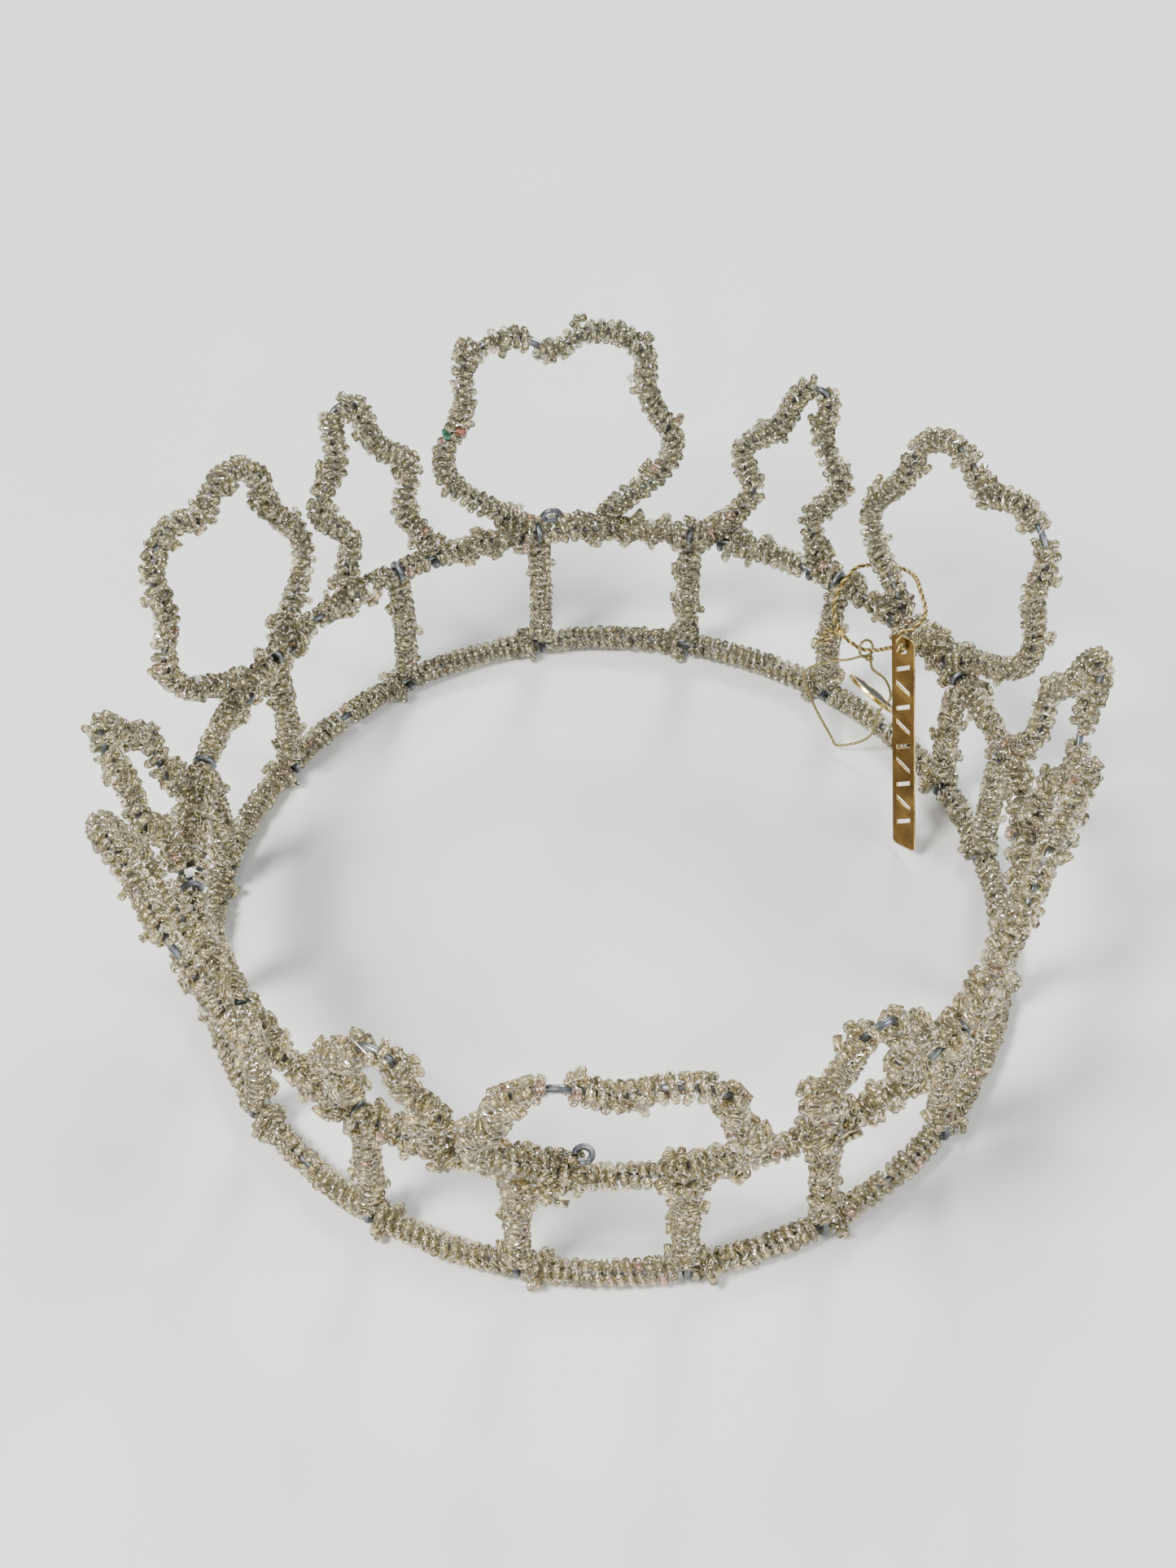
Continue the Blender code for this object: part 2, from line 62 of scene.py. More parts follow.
# Driving dimensions, read from the frame where the frame has them.
LOWER_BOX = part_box("lower_ring_wire")
UPPER_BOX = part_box("upper_ring_wire")
WIRE_RADIUS = (LOWER_BOX[1].z - LOWER_BOX[0].z) / 2 / math.cos(math.pi / 6)
LOWER_HEIGHT = (LOWER_BOX[1].z + LOWER_BOX[0].z) / 2
UPPER_HEIGHT = (UPPER_BOX[1].z + UPPER_BOX[0].z) / 2
RING_RADIUS = LOWER_BOX[1].x - WIRE_RADIUS
POSTS = 16
HOOK_RADIUS = 2.1 * MM  # between the centres of a ring's wire and the wire hooked round it
NECK_OUT, NECK_RISE = 1.5 * MM, 2.5 * MM  # where a post's hook turns into its neck
NECK_LEAD = 4.4 * MM  # from a ring's centre to where a post stands straight
WOBBLE = 0.22 * MM  # of the ornaments' hand-bent wires
CURL_WIRE_SHARE = 0.86  # of the wire's radius, in the curled ends
STEP = 0.4 * MM  # between the points of a smooth line
FINE_STEP = 0.25 * MM  # the same, for a cord or a curl
WIRE_SIDES, YARN_SIDES, BEADING_WIRE_SIDES = 12, 8, 4  # flat sides of each kind of rod
SHARP_ANGLE = 50.0  # degrees; edges sharper than this aren't smoothed

# Tube beads on their fine wire. An odd bead has a kind of its own.
BEAD_RADIUS, BEAD_BORE = 1.0 * MM, 0.44 * MM
BEAD_LENGTH, BEAD_CHAMFER = 2.65 * MM, 0.13 * MM
BEAD_CORNERS = 6
CORNER_EASE = 8.0  # half the angle that each long edge is eased by, in degrees
BEAD_PITCH = 1.05  # from bead to bead in a straight run, in bead lengths
WHITE, MINT, PINK = 1, 2, 3
BEADING_WIRE_RADIUS = 0.12 * MM
DRIFT = 9.0 * MM  # over which a winding's slant changes
HOOK_CLEAR = 0.95  # degrees of a ring left bare on each side of a hook's middle
POST_LEAD = 9.8 * MM  # bare length of a post's wire at each end, round its hook
FOOT_LEAD = 8.2 * MM  # bare length of an ornament's wire at each foot
FOOT_BIND = 5.0 * MM  # length of the thick binding over a foot
STRAND_GAP = 0.6  # degrees left bare at each end of a strand

# How wound beads settle against each other and the wires, round by round.
SETTLE_ROUNDS = 22
PUSH_SHARE = 0.42  # of an overlap undone by each of the two beads
HOME_PULL = 0.04  # share of the way back to where a bead was wound
BEAD_SPACING = 1.88  # least distance between two beads' centre lines, in bead radii
WIRE_SPACING = 0.92  # the same from a wire's surface
WIRE_LIFT = 0.8  # share of what is missing there, made up in one round

# Swing tags and their cords: how thick each yarn is, how far it lies from its cord's centre
# line, the length of one turn, and the wrapping round each knot.
YARN_RADIUS, DARK_YARN_RADIUS, THREAD_YARN_RADIUS = 0.30 * MM, 0.28 * MM, 0.26 * MM
CORD_OFFSET, TAIL_OFFSET, THREAD_OFFSET = 0.28 * MM, 0.25 * MM, 0.12 * MM
CORD_TWIST, THREAD_TWIST = 2.6 * MM, 2.4 * MM
CORD_WRAP, THREAD_WRAP = 0.8 * MM, 0.75 * MM
CORD_COIL, THREAD_COIL = 18.8, 15.7  # radians over which a wrapping gains its whole length
EYELET_RADIUS = 2.1 * MM
TAG_WIDTH, TAG_LENGTH, TAG_THICK = 7.3 * MM, 56.0 * MM, 0.5 * MM
TAG_TOP = 3.0 * MM  # from the hole's middle to the top edge
TAG_CORNER, TAG_HOLE, TAG_BEVEL = 1.2 * MM, 1.3 * MM, 0.08 * MM
SLOTS, SLOT_START, SLOT_MARGINS = 9, 5.0 * MM, 10.0 * MM
SLOT_HALF, SLOT_BAR, SLOT_SLANT = 2.2 * MM, 0.55 * MM, 1.0 * MM
DISC_MIDDLE, DISC_RADIUS, DISC_THICK = (0.0, -4.2 * MM), 6.0 * MM, 0.9 * MM
RIM_GAP, RIM_WIDTH, RIM_THICK = 0.12 * MM, 1.1 * MM, 1.17 * MM

# Strands: place, its ends on the lower ring and on the upper ring in degrees, and where a second
# winding thickens the upper ring.
STRANDS = (
    ("back", (40.0, 135.0), (46.5, 138.0),
     ((48.0, 53.0), (64.0, 94.0), (99.0, 112.0), (127.0, 134.0))),
    ("left", (135.0, 225.0), (138.0, 225.0), ((141.0, 160.0), (172.0, 190.0), (203.0, 222.0))),
    ("front", (225.0, 310.0), (225.0, 315.5),
     ((226.0, 250.0), (255.0, 266.0), (276.0, 287.0), (294.0, 312.0))),
    ("right", (310.0, 400.0), (315.5, 406.5), ((318.0, 334.0), (345.0, 372.0), (380.0, 403.0))),
)

# Ornaments: place, kind, angle round the ring, outward lean, sideways cant, width, height and
# the wire's bare stretches: where along it, as a share, and how long in millimetres.
ORNAMENTS = (
    ("back", "cloud", 96.3, 14.0, 0.0, 1.02, 1.00, ((0.53, 3.0), (0.6, 1.5))),
    ("back_left", "spade", 124.0, 14.0, -3.0, 0.98, 0.97, ((0.51, 3.2),)),
    ("left_back", "cloud", 150.4, 16.0, 2.0, 0.95, 0.90, ((0.52, 2.0), (0.93, 2.0))),
    ("left", "spade", 182.0, 20.0, -4.0, 0.95, 0.78, ()),
    ("left_front", "cloud", 210.0, 17.0, 0.0, 1.00, 0.90, ((0.25, 3.0), (0.62, 2.4))),
    ("front_left", "spade", 241.0, 12.0, -8.0, 1.00, 0.92, ((0.5, 3.4),)),
    ("front", "cloud", 270.3, 14.0, 0.0, 1.00, 1.00, ((0.43, 3.4), (0.62, 3.0))),
    ("front_right", "spade", 303.0, 10.0, 9.0, 1.00, 0.92, ((0.5, 4.0),)),
    ("right_front", "cloud", 334.0, 7.0, 0.0, 1.00, 0.92, ((0.2, 3.0), (0.44, 2.4), (0.7, 2.4))),
    ("right", "spade", 362.2, 14.0, 0.0, 0.95, 0.90, ((0.35, 2.4),)),
    ("right_back", "cloud", 395.0, 14.0, 3.0, 1.03, 0.92, ((0.38, 2.8), (0.66, 2.0))),
    ("back_right", "spade", 424.0, 14.0, 6.0, 1.00, 0.94, ((0.49, 2.4),)),
)
FEET_HALF_WIDTH = {"cloud": 9.5 * MM, "spade": 12.0 * MM}

# Straight runs of beads laid over the upper ring at the ornaments' feet: strand, then each end's
# angle and its outward and upward reach in millimetres.
BRIDGES = (
    ("back", (95.0, 0.6, 4.2), (106.0, 1.4, 4.0)),
    ("back", (84.0, -3.4, 2.4), (94.0, 0.2, 5.2)),
    ("back", (73.0, 2.0, 4.6), (82.0, -3.6, 1.6)),
    ("left", (144.0, -2.6, 4.2), (151.0, -1.0, 5.2)),
    ("left", (205.0, -3.0, 3.6), (214.0, 2.0, 4.6)),
    ("front", (228.0, 2.6, 3.8), (237.0, 1.6, 4.2)),
    ("front", (254.0, -2.6, 4.2), (266.5, -2.0, 3.8)),
    ("front", (255.5, 0.2, 5.4), (266.0, -0.4, 4.6)),
    ("front", (253.5, 2.2, 3.6), (263.0, 5.0, -3.0)),
    ("front", (255.5, 3.6, 3.4), (264.5, 5.2, -2.0)),
    ("front", (285.0, 2.4, 5.0), (277.0, 5.0, -1.8)),
    ("right", (318.0, -3.2, 3.4), (327.0, -1.4, 4.8)),
    ("right", (386.0, 3.0, 3.6), (395.0, 4.2, 1.8)),
)

# Curled wire ends standing out of the binding: angle, outward and upward reach, radius and tilt.
CURLS = ((97.8, -1.0, 6.4, 2.3, 76.0), (266.4, -2.2, 4.6, 1.9, 0.0))

rng = np.random.default_rng(2207)


# --- Lines

def unit(v):
    return v / np.linalg.norm(v, axis=-1, keepdims=True)


def arc(centre, radius, start, stop, steps):
    """Points on an arc in two dimensions, from one angle in degrees to another."""
    angles = np.radians(np.linspace(start, stop, steps + 1))
    return [(centre[0] + radius * math.cos(a), centre[1] + radius * math.sin(a)) for a in angles]


def ring_point(angle, out=0.0, height=0.0):
    a = math.radians(angle)
    reach = RING_RADIUS + out
    return np.array((reach * math.cos(a), reach * math.sin(a), height))


def ring_points(rows):
    """Places from rows of an angle and an outward and upward reach in millimetres."""
    return [ring_point(angle, out * MM, height * MM) for angle, out, height in rows]


def lengths(points):
    """How far along a line each of its points lies."""
    return np.concatenate([[0.0], np.cumsum(np.linalg.norm(np.diff(points, axis=0), axis=1))])


def even(points, step=STEP):
    """The same line with its points at even steps."""
    run = lengths(points)
    marks = np.linspace(0.0, run[-1], max(2, round(run[-1] / step) + 1))
    return np.column_stack([np.interp(marks, run, points[:, k]) for k in range(3)])


def blend(t, low, high, first, second):
    """From the first value to the second as t goes from low to high."""
    return (high - t) / (high - low) * first + (t - low) / (high - low) * second


def rounded(points, closed=False, step=STEP):
    """A smooth line through a list of points: a centripetal Catmull-Rom curve."""
    p = np.asarray(points, float)
    ends = (p[-1:], p[:2]) if closed else (2 * p[:1] - p[1:2], 2 * p[-1:] - p[-2:-1])
    p = np.vstack([ends[0], p, ends[1]])
    knots = np.concatenate([[0.0], np.cumsum(np.sqrt(np.linalg.norm(np.diff(p, axis=0), axis=1)))])
    fine = []
    for i in range(1, len(p) - 2):
        k0, k1, k2, k3 = knots[i - 1:i + 3]
        t = np.linspace(k1, k2, 16, endpoint=False)[:, None]
        a1 = blend(t, k0, k1, p[i - 1], p[i])
        a2 = blend(t, k1, k2, p[i], p[i + 1])
        a3 = blend(t, k2, k3, p[i + 1], p[i + 2])
        fine.append(blend(t, k1, k2, blend(t, k0, k2, a1, a2), blend(t, k1, k3, a2, a3)))
    fine.append(p[-2:-1])
    return even(np.vstack(fine), step)


class Line:
    """A smooth line with a frame carried along it without twist."""

    def __init__(self, points):
        self.points = points
        self.run = lengths(points)
        self.length = self.run[-1]
        self.along = unit(np.gradient(points, axis=0))
        side = np.cross(self.along[0], (0.3, 0.5, 0.8))
        sides = []
        for along in self.along:
            side = side - along * np.dot(side, along)
            side = side / np.linalg.norm(side)
            sides.append(side)
        self.side = np.array(sides)
        self.other = np.cross(self.along, self.side)

    def slip(self):
        """The angle by which a closed line's frame misses itself after one round."""
        first, last = self.side[0], self.side[-1]
        return math.atan2(np.cross(first, last) @ self.along[0], first @ last)

    def at(self, mark):
        """Place, direction, side and other side at a length along the line."""
        i = min(np.searchsorted(self.run, mark, side="right") - 1, len(self.run) - 2)
        i = max(i, 0)
        share = (mark - self.run[i]) / (self.run[i + 1] - self.run[i])
        mix = lambda rows: rows[i] * (1 - share) + rows[i + 1] * share
        return mix(self.points), unit(mix(self.along)), unit(mix(self.side)), unit(mix(self.other))


# --- Paths of the bent wires

def hook(angle, height, way, start, stop, steps):
    """A hook round a ring wire, in the upright plane at an angle; way -1 turns it over."""
    return [ring_point(angle, out, height + way * rise)
            for out, rise in arc((0.0, 0.0), HOOK_RADIUS, start, stop, steps)]


def post_path(angle):
    """Up from a hook under the lower ring to a hook over the upper ring."""
    below = hook(angle, LOWER_HEIGHT, -1, -15.0, 195.0, 5)
    above = hook(angle, UPPER_HEIGHT, 1, -15.0, 195.0, 5)
    necks = [ring_point(angle, NECK_OUT, LOWER_HEIGHT + NECK_RISE),
             ring_point(angle, 0.0, LOWER_HEIGHT + NECK_LEAD),
             ring_point(angle, 0.0, UPPER_HEIGHT - NECK_LEAD),
             ring_point(angle, NECK_OUT, UPPER_HEIGHT - NECK_RISE)]
    return below[::-1] + necks + above


def cloud_half():
    """Across and up: the right half of a cloud, a low lobe under a high one."""
    low_lobe = arc((15.5 * MM, 21.5 * MM), 12.0 * MM, -60.0, 44.0, 4)
    high_lobe = arc((10.5 * MM, 41.5 * MM), 11.5 * MM, -20.0, 128.0, 4)
    return [(15.5 * MM, 7.6 * MM)] + low_lobe + high_lobe + [(0.0, 47.6 * MM)]


def spade_half():
    """Across and up: the right half of a spade, a neck, a side lobe and a tall tip."""
    lobe = arc((7.6 * MM, 26.0 * MM), 5.4 * MM, -55.0, 58.0, 3)
    neck = [(10.6 * MM, 8.0 * MM), (7.6 * MM, 15.5 * MM)]
    shoulder = [(5.7 * MM, 36.5 * MM), (4.1 * MM, 46.0 * MM)]
    return neck + lobe + shoulder + [(2.2 * MM, 49.6 * MM)]


def ornament_path(kind, angle, lean, cant, wide, tall):
    """The bent wire in space, without its feet, leaning out from the upper ring."""
    half = cloud_half() if kind == "cloud" else spade_half()
    mirrored = [(-x, y) for x, y in reversed(half[:-1] if half[-1][0] == 0 else half)]
    radial = unit(ring_point(angle))
    along = np.array((-radial[1], radial[0], 0.0))
    upward = np.array((0, 0, math.cos(math.radians(lean)))) + radial * math.sin(math.radians(lean))
    foot = ring_point(angle, 0.0, UPPER_HEIGHT)
    cant = math.radians(cant)
    path = []
    for x, y in half + mirrored:
        x, y = x * wide, y * tall
        side = x * math.cos(cant) + y * math.sin(cant)
        rise = y * math.cos(cant) - x * math.sin(cant)
        path.append(foot - along * side + upward * rise)
    return path


def foot_spread(kind, wide):
    """Degrees round the ring from an ornament's middle to each foot."""
    return math.degrees(FEET_HALF_WIDTH[kind] * wide / RING_RADIUS)


def feet_paths(kind, angle, wide):
    """The two feet's hooks round the upper ring."""
    spread = foot_spread(kind, wide)
    return [hook(angle + side * spread, UPPER_HEIGHT, 1, 45.0, -195.0, 6) for side in (-1, 1)]


def post_angles():
    """Each post's angle, from the middle of its node's box."""
    found = []
    for number in range(1, POSTS + 1):
        low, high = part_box(f"post_wire_{number:02d}")
        found.append(math.degrees(math.atan2(low.y + high.y, low.x + high.x)) % 360)
    return found


# --- Meshes

def new_object(name, data):
    item = bpy.data.objects.new(name, data)
    bpy.context.scene.collection.objects.link(item)
    return item


def make_mesh(name, points, quads, ends=(), smooth=True):
    """A mesh object from an array of points, an array of quads and a few larger end faces."""
    mesh = bpy.data.meshes.new(name)
    mesh.vertices.add(len(points))
    mesh.vertices.foreach_set("co", np.ascontiguousarray(points, np.float32).ravel())
    loops = np.concatenate([np.asarray(quads, np.int32).ravel()]
                           + [np.asarray(end, np.int32) for end in ends])
    totals = np.array([4] * len(quads) + [len(end) for end in ends], np.int32)
    starts = np.concatenate([[0], np.cumsum(totals)[:-1]]).astype(np.int32)
    mesh.loops.add(len(loops))
    mesh.loops.foreach_set("vertex_index", loops)
    mesh.polygons.add(len(totals))
    mesh.polygons.foreach_set("loop_start", starts)
    mesh.polygons.foreach_set("loop_total", totals)
    mesh.update(calc_edges=True)
    if smooth:
        mesh.shade_smooth()
        mesh.set_sharp_from_angle(angle=math.radians(SHARP_ANGLE))
    return new_object(name, mesh)


def swept(points, radius, sides, closed=False, first=0):
    """A round rod along a line: its points, quads and end faces, numbered from first."""
    line = Line(points)
    count = len(points)
    drift = -(line.slip() if closed else 0.0) * np.linspace(0, 1, count)[:, None]
    turn = np.linspace(0, 2 * math.pi, sides, endpoint=False)[None, :] + drift
    ring = np.cos(turn)[..., None] * line.side[:, None] \
        + np.sin(turn)[..., None] * line.other[:, None]
    places = (line.points[:, None] + ring * radius).reshape(-1, 3)
    if closed:
        places, count = places[:-sides], count - 1
    rows = np.arange(count if closed else count - 1)
    cols = np.arange(sides)
    low = rows[:, None] * sides
    high = (rows[:, None] + 1) % count * sides
    nxt = (cols + 1) % sides
    quads = np.stack([low + cols, low + nxt, high + nxt, high + cols], -1).reshape(-1, 4) + first
    start = list(range(sides))
    ends = [] if closed else [start[::-1], [(count - 1) * sides + corner for corner in start]]
    return places, quads, [[corner + first for corner in end] for end in ends]


def rods(name, lines, radius, sides, look, closed=False):
    """One piece holding a rod along each of several lines, dressed in a look."""
    places, quads, ends, first = [], [], [], 0
    for line in lines:
        rod_places, rod_quads, rod_ends = swept(line, radius, sides, closed, first)
        places.append(rod_places)
        quads.append(rod_quads)
        ends += rod_ends
        first += len(rod_places)
    dress(make_mesh(name, np.vstack(places), np.vstack(quads), ends), *look)


# --- Strings of beads
#
# A string of beads is its strand's node, its beads' middles and the directions of their bores.

def wind(beads, owner, line, start, stop, pitch, layer=0.0, loose=0.15, bare=(), hand=1):
    """Winds a string of beads round a line from one mark to another, skipping bare stretches.

    Layer counts the bead thicknesses below, loose is how unevenly beads sit, up to about 0.5,
    and hand is which way round they go."""
    reach = WIRE_RADIUS + BEAD_RADIUS * (1 + 2 * layer)
    slope = math.atan(pitch / (2 * math.pi * reach))
    mark, turn = start, rng.uniform(0, 2 * math.pi)
    drift = rng.normal(0, loose * 0.8, max(2, round((stop - start) / DRIFT) + 2))
    middles, axes = [], []
    while mark < stop:
        zone = next((z for z in bare if z[0] < mark < z[1]), None)
        if zone:
            mark = zone[1]
            turn += rng.uniform(0.5, 2.0)
            continue
        tilt = slope + np.interp((mark - start) / DRIFT, range(len(drift)), drift) \
            + rng.normal(0, loose * 0.4)
        stride = BEAD_LENGTH * rng.uniform(1.03, 1.10 + loose * 0.3)
        place, along, side, other = line.at(min(mark + stride / 2 * math.sin(tilt), line.length))
        middle_turn = turn + hand * stride / 2 * math.cos(tilt) / reach
        outward = math.cos(middle_turn) * side + math.sin(middle_turn) * other
        around = hand * (math.cos(middle_turn) * other - math.sin(middle_turn) * side)
        axis = math.cos(tilt) * around + math.sin(tilt) * along \
            + outward * rng.normal(0, loose * 0.45)
        middles.append(place + outward * (reach + abs(rng.normal(0, loose * 0.5)) * BEAD_RADIUS))
        axes.append(unit(axis))
        mark += stride / (2 * math.pi * reach) * pitch * rng.uniform(0.85, 1.15)
        turn += hand * stride * math.cos(tilt) / reach
    if middles:
        beads.append((owner, middles, axes))


def lay(beads, owner, points):
    """Lays a straight run of beads end to end along a line of points."""
    line = Line(rounded(points))
    stride = BEAD_LENGTH * BEAD_PITCH
    marks = np.arange(stride / 2, line.length, stride)
    found = [line.at(mark) for mark in marks]
    beads.append((owner, [f[0] for f in found],
                  [unit(f[1] + rng.normal(0, 0.05, 3)) for f in found]))


def tree_of(points):
    """A search tree over a list of points."""
    tree = kdtree.KDTree(len(points))
    for i, p in enumerate(points):
        tree.insert(p, i)
    tree.balance()
    return tree


def near_pairs(middles, reach):
    """Every two beads whose middles are closer than a reach, as rows of two numbers."""
    tree = tree_of(middles)
    pairs = [(i, j) for i, m in enumerate(middles)
             for _, j, _ in tree.find_range(m, reach) if j > i]
    return np.array(pairs, int).reshape(-1, 2)


def settle(middles, axes, wire_lines):
    """Pushes beads, taken as round-ended rods, apart from each other and out of the wires."""
    half = BEAD_LENGTH / 2 - BEAD_RADIUS * 0.6
    low, high = middles - axes * half, middles + axes * half
    wire_points = np.vstack([line.points for line in wire_lines])
    wire_along = np.vstack([line.along for line in wire_lines])
    tree = tree_of(wire_points)
    home_low, home_high = low.copy(), high.copy()
    for turn in range(SETTLE_ROUNDS):
        if turn % 5 == 0:
            pairs = near_pairs((low + high) / 2, BEAD_LENGTH + 1.2 * BEAD_RADIUS)
            i, j = pairs[:, 0], pairs[:, 1]
        if turn % 2 == 0:
            near_low = np.array([tree.find(p)[1] for p in low])
            near_high = np.array([tree.find(p)[1] for p in high])
        u, v, w = high[i] - low[i], high[j] - low[j], low[i] - low[j]
        a, b, c = (u * u).sum(1), (u * v).sum(1), (v * v).sum(1)
        d, e = (u * w).sum(1), (v * w).sum(1)
        s = np.clip((b * e - c * d) / np.maximum(a * c - b * b, 1e-3 * a * c), 0, 1)
        t = np.clip((b * s + e) / c, 0, 1)
        s = np.clip((b * t - d) / a, 0, 1)
        gap = w + u * s[:, None] - v * t[:, None]
        apart = np.linalg.norm(gap, axis=1)
        short = np.maximum(BEAD_RADIUS * BEAD_SPACING - apart, 0)
        push = gap / np.maximum(apart, 1e-7)[:, None] * (short * PUSH_SHARE)[:, None]
        for place, index, share in ((low, i, 1 - s), (high, i, s),
                                    (low, j, -(1 - t)), (high, j, -t)):
            np.add.at(place, index, push * share[:, None])
        low += (home_low - low) * HOME_PULL
        high += (home_high - high) * HOME_PULL
        for place, near in ((low, near_low), (high, near_high)):
            away = place - wire_points[near]
            away -= wire_along[near] * (away * wire_along[near]).sum(1)[:, None]
            reach = np.linalg.norm(away, axis=1)
            least = WIRE_RADIUS + BEAD_RADIUS * WIRE_SPACING
            lift = np.maximum(least - reach, 0) * WIRE_LIFT
            place += away / np.maximum(reach, 1e-7)[:, None] * lift[:, None]
            place[:, 2] = np.maximum(place[:, 2], BEAD_RADIUS)
        middle, axis = (low + high) / 2, unit(high - low)
        low, high = middle - axis * half, middle + axis * half
    return middle, axis


def bead_template():
    """A tube bead with chamfered ends: its points, its quads and which of those line the bore."""
    half = BEAD_LENGTH / 2
    profile = [(BEAD_RADIUS - BEAD_CHAMFER, half), (BEAD_RADIUS, half - BEAD_CHAMFER),
               (BEAD_RADIUS, BEAD_CHAMFER - half), (BEAD_RADIUS - BEAD_CHAMFER, -half),
               (BEAD_BORE, -half), (BEAD_BORE, half)]
    turns = [math.radians(360.0 / BEAD_CORNERS * c + ease)
             for c in range(BEAD_CORNERS) for ease in (-CORNER_EASE, CORNER_EASE)]
    sides = len(turns)
    places = np.array([(r * math.cos(t), r * math.sin(t), z) for r, z in profile for t in turns])
    quads, lining = [], []
    for k in range(len(profile)):
        low, high = k * sides, (k + 1) % len(profile) * sides
        for c in range(sides):
            n = (c + 1) % sides
            quads.append((low + c, high + c, high + n, low + n))
            lining.append(k == len(profile) - 2)
    return places, np.array(quads), np.array(lining, np.int32)


def bead_mesh(name, middles, axes, tones_with_painted_light, kinds):
    """One object of many tube beads, each with its own size, roll and crookedly cut ends."""
    template, quads, lining = bead_template()
    count = len(middles)
    helper = np.where(np.abs(axes[:, 2:]) < 0.8, (0.0, 0.0, 1.0), (1.0, 0.0, 0.0))
    side = unit(np.cross(axes, helper))
    other = np.cross(axes, side)
    roll = rng.uniform(0, 2 * math.pi, count)[:, None]
    side, other = (side * np.cos(roll) + other * np.sin(roll),
                   other * np.cos(roll) - side * np.sin(roll))
    thick = rng.normal(0.97, 0.07, count).clip(0.80, 1.10)
    thick = np.where(kinds == WHITE, 1.1, thick)
    long = rng.normal(0.98, 0.11, count).clip(0.74, 1.25)
    long = np.where(kinds == WHITE, 0.7, long)
    x = template[None, :, 0] * thick[:, None]
    y = template[None, :, 1] * thick[:, None]
    z = template[None, :, 2] * long[:, None]
    for sign in (-1, 1):
        slant = rng.normal(0, 0.12, (count, 2))
        z = z + (template[None, :, 2] * sign > 0) * (x * slant[:, :1] + y * slant[:, 1:])
    places = middles[:, None] + x[..., None] * side[:, None] + y[..., None] * other[:, None] \
        + z[..., None] * axes[:, None]
    first = (np.arange(count) * len(template))[:, None, None]
    item = make_mesh(name, places.reshape(-1, 3), (quads[None] + first).reshape(-1, 4),
                     smooth=False)
    # The tone attribute carries each bead's painted front light along with its own tone.
    for label, values in (("tone_with_painted_light", tones_with_painted_light), ("kind", kinds.astype(float))):
        layer = item.data.attributes.new(label, "FLOAT", "POINT")
        layer.data.foreach_set("value", np.repeat(values, len(template)).astype(np.float32))
    for look in ("glass", "lining", "milk"):
        item.data.materials.append(materials[look])
    slots = np.where(kinds[:, None] == WHITE, 2, lining[None, :])
    item.data.polygons.foreach_set("material_index", slots.ravel().astype(np.int32))
    return item


# --- Materials

# Noise scales are in waves per metre; colours are linear red, green and blue.

GLASS_IOR = 1.56
FINE_RELIEF, GLASS_RELIEF, FLOOR_RELIEF = 0.1 * MM, 0.2 * MM, 0.6 * MM


class Tree:
    """A material's or the world's shader nodes, with short ways to add and join them."""

    def __init__(self, owner):
        owner.use_nodes = True
        self.nodes, self.links = owner.node_tree.nodes, owner.node_tree.links

    def add(self, kind, source=None, socket=0):
        """A new node, fed from a socket of another one."""
        node = self.nodes.new("ShaderNode" + kind)
        if source:
            self.links.new(source, node.inputs[socket])
        return node

    def noise(self, scale, detail):
        """Noise fixed in space."""
        place = self.add("NewGeometry").outputs["Position"]
        texture = self.add("TexNoise", place, "Vector")
        texture.inputs["Scale"].default_value = scale
        texture.inputs["Detail"].default_value = detail
        return texture.outputs["Fac"]

    def ramp(self, source, stops):
        """A colour or grey ramp from (place, colour) pairs."""
        node = self.add("ValToRGB", source, "Fac")
        while len(node.color_ramp.elements) < len(stops):
            node.color_ramp.elements.new(0.5)
        for element, (place, colour) in zip(node.color_ramp.elements, stops):
            element.position = place
            element.color = (*([colour] * 3 if isinstance(colour, float) else colour), 1.0)
        return node.outputs["Color"]

    def mixed(self, share, first, second, how="MIX"):
        """Two colours mixed; each value is a number, a colour or a socket."""
        node = self.add("Mix")
        node.data_type = "RGBA"
        node.blend_type = how
        for name, kind, value in (("Factor", "VALUE", share), ("A", "RGBA", first),
                                  ("B", "RGBA", second)):
            socket = [s for s in node.inputs if s.name == name and s.type == kind][0]
            if isinstance(value, float):
                socket.default_value = value
            elif isinstance(value, tuple):
                socket.default_value = (*value, 1.0)
            else:
                self.links.new(value, socket)
        return [s for s in node.outputs if s.type == "RGBA"][0]

    def attribute(self, name):
        node = self.add("Attribute")
        node.attribute_name = name
        return node.outputs["Fac"]


class Material(Tree):
    def __init__(self, name):
        self.material = bpy.data.materials.new(name)
        super().__init__(self.material)
        self.shader = self.nodes["Principled BSDF"]

    def set(self, **values):
        """Sets shader inputs, by a socket or a number; _ in a name stands for a space."""
        for name, value in values.items():
            socket = self.shader.inputs[name.replace("_", " ")]
            if isinstance(value, float):
                socket.default_value = value
            else:
                self.links.new(value, socket)

    def bump(self, height, strength, distance):
        node = self.add("Bump", height, "Height")
        node.inputs["Strength"].default_value = strength
        node.inputs["Distance"].default_value = distance
        self.set(Normal=node.outputs["Normal"])

    def bead_colour(self, stops):
        """A colour by each bead's tone, with painted light at the front, and odd beads in white,
        mint and copper pink.
        """
        colour = self.ramp(self.attribute("tone_with_painted_light"), stops)
        for kind, odd in ((WHITE, (0.88, 0.89, 0.87)), (MINT, (0.20, 0.72, 0.48)),
                          (PINK, (0.75, 0.38, 0.27))):
            same = self.add("Math", self.attribute("kind"))
            same.operation = "COMPARE"
            same.inputs[1].default_value = kind
            same.inputs[2].default_value = 0.4
            colour = self.mixed(same.outputs[0], colour, odd)
        return colour


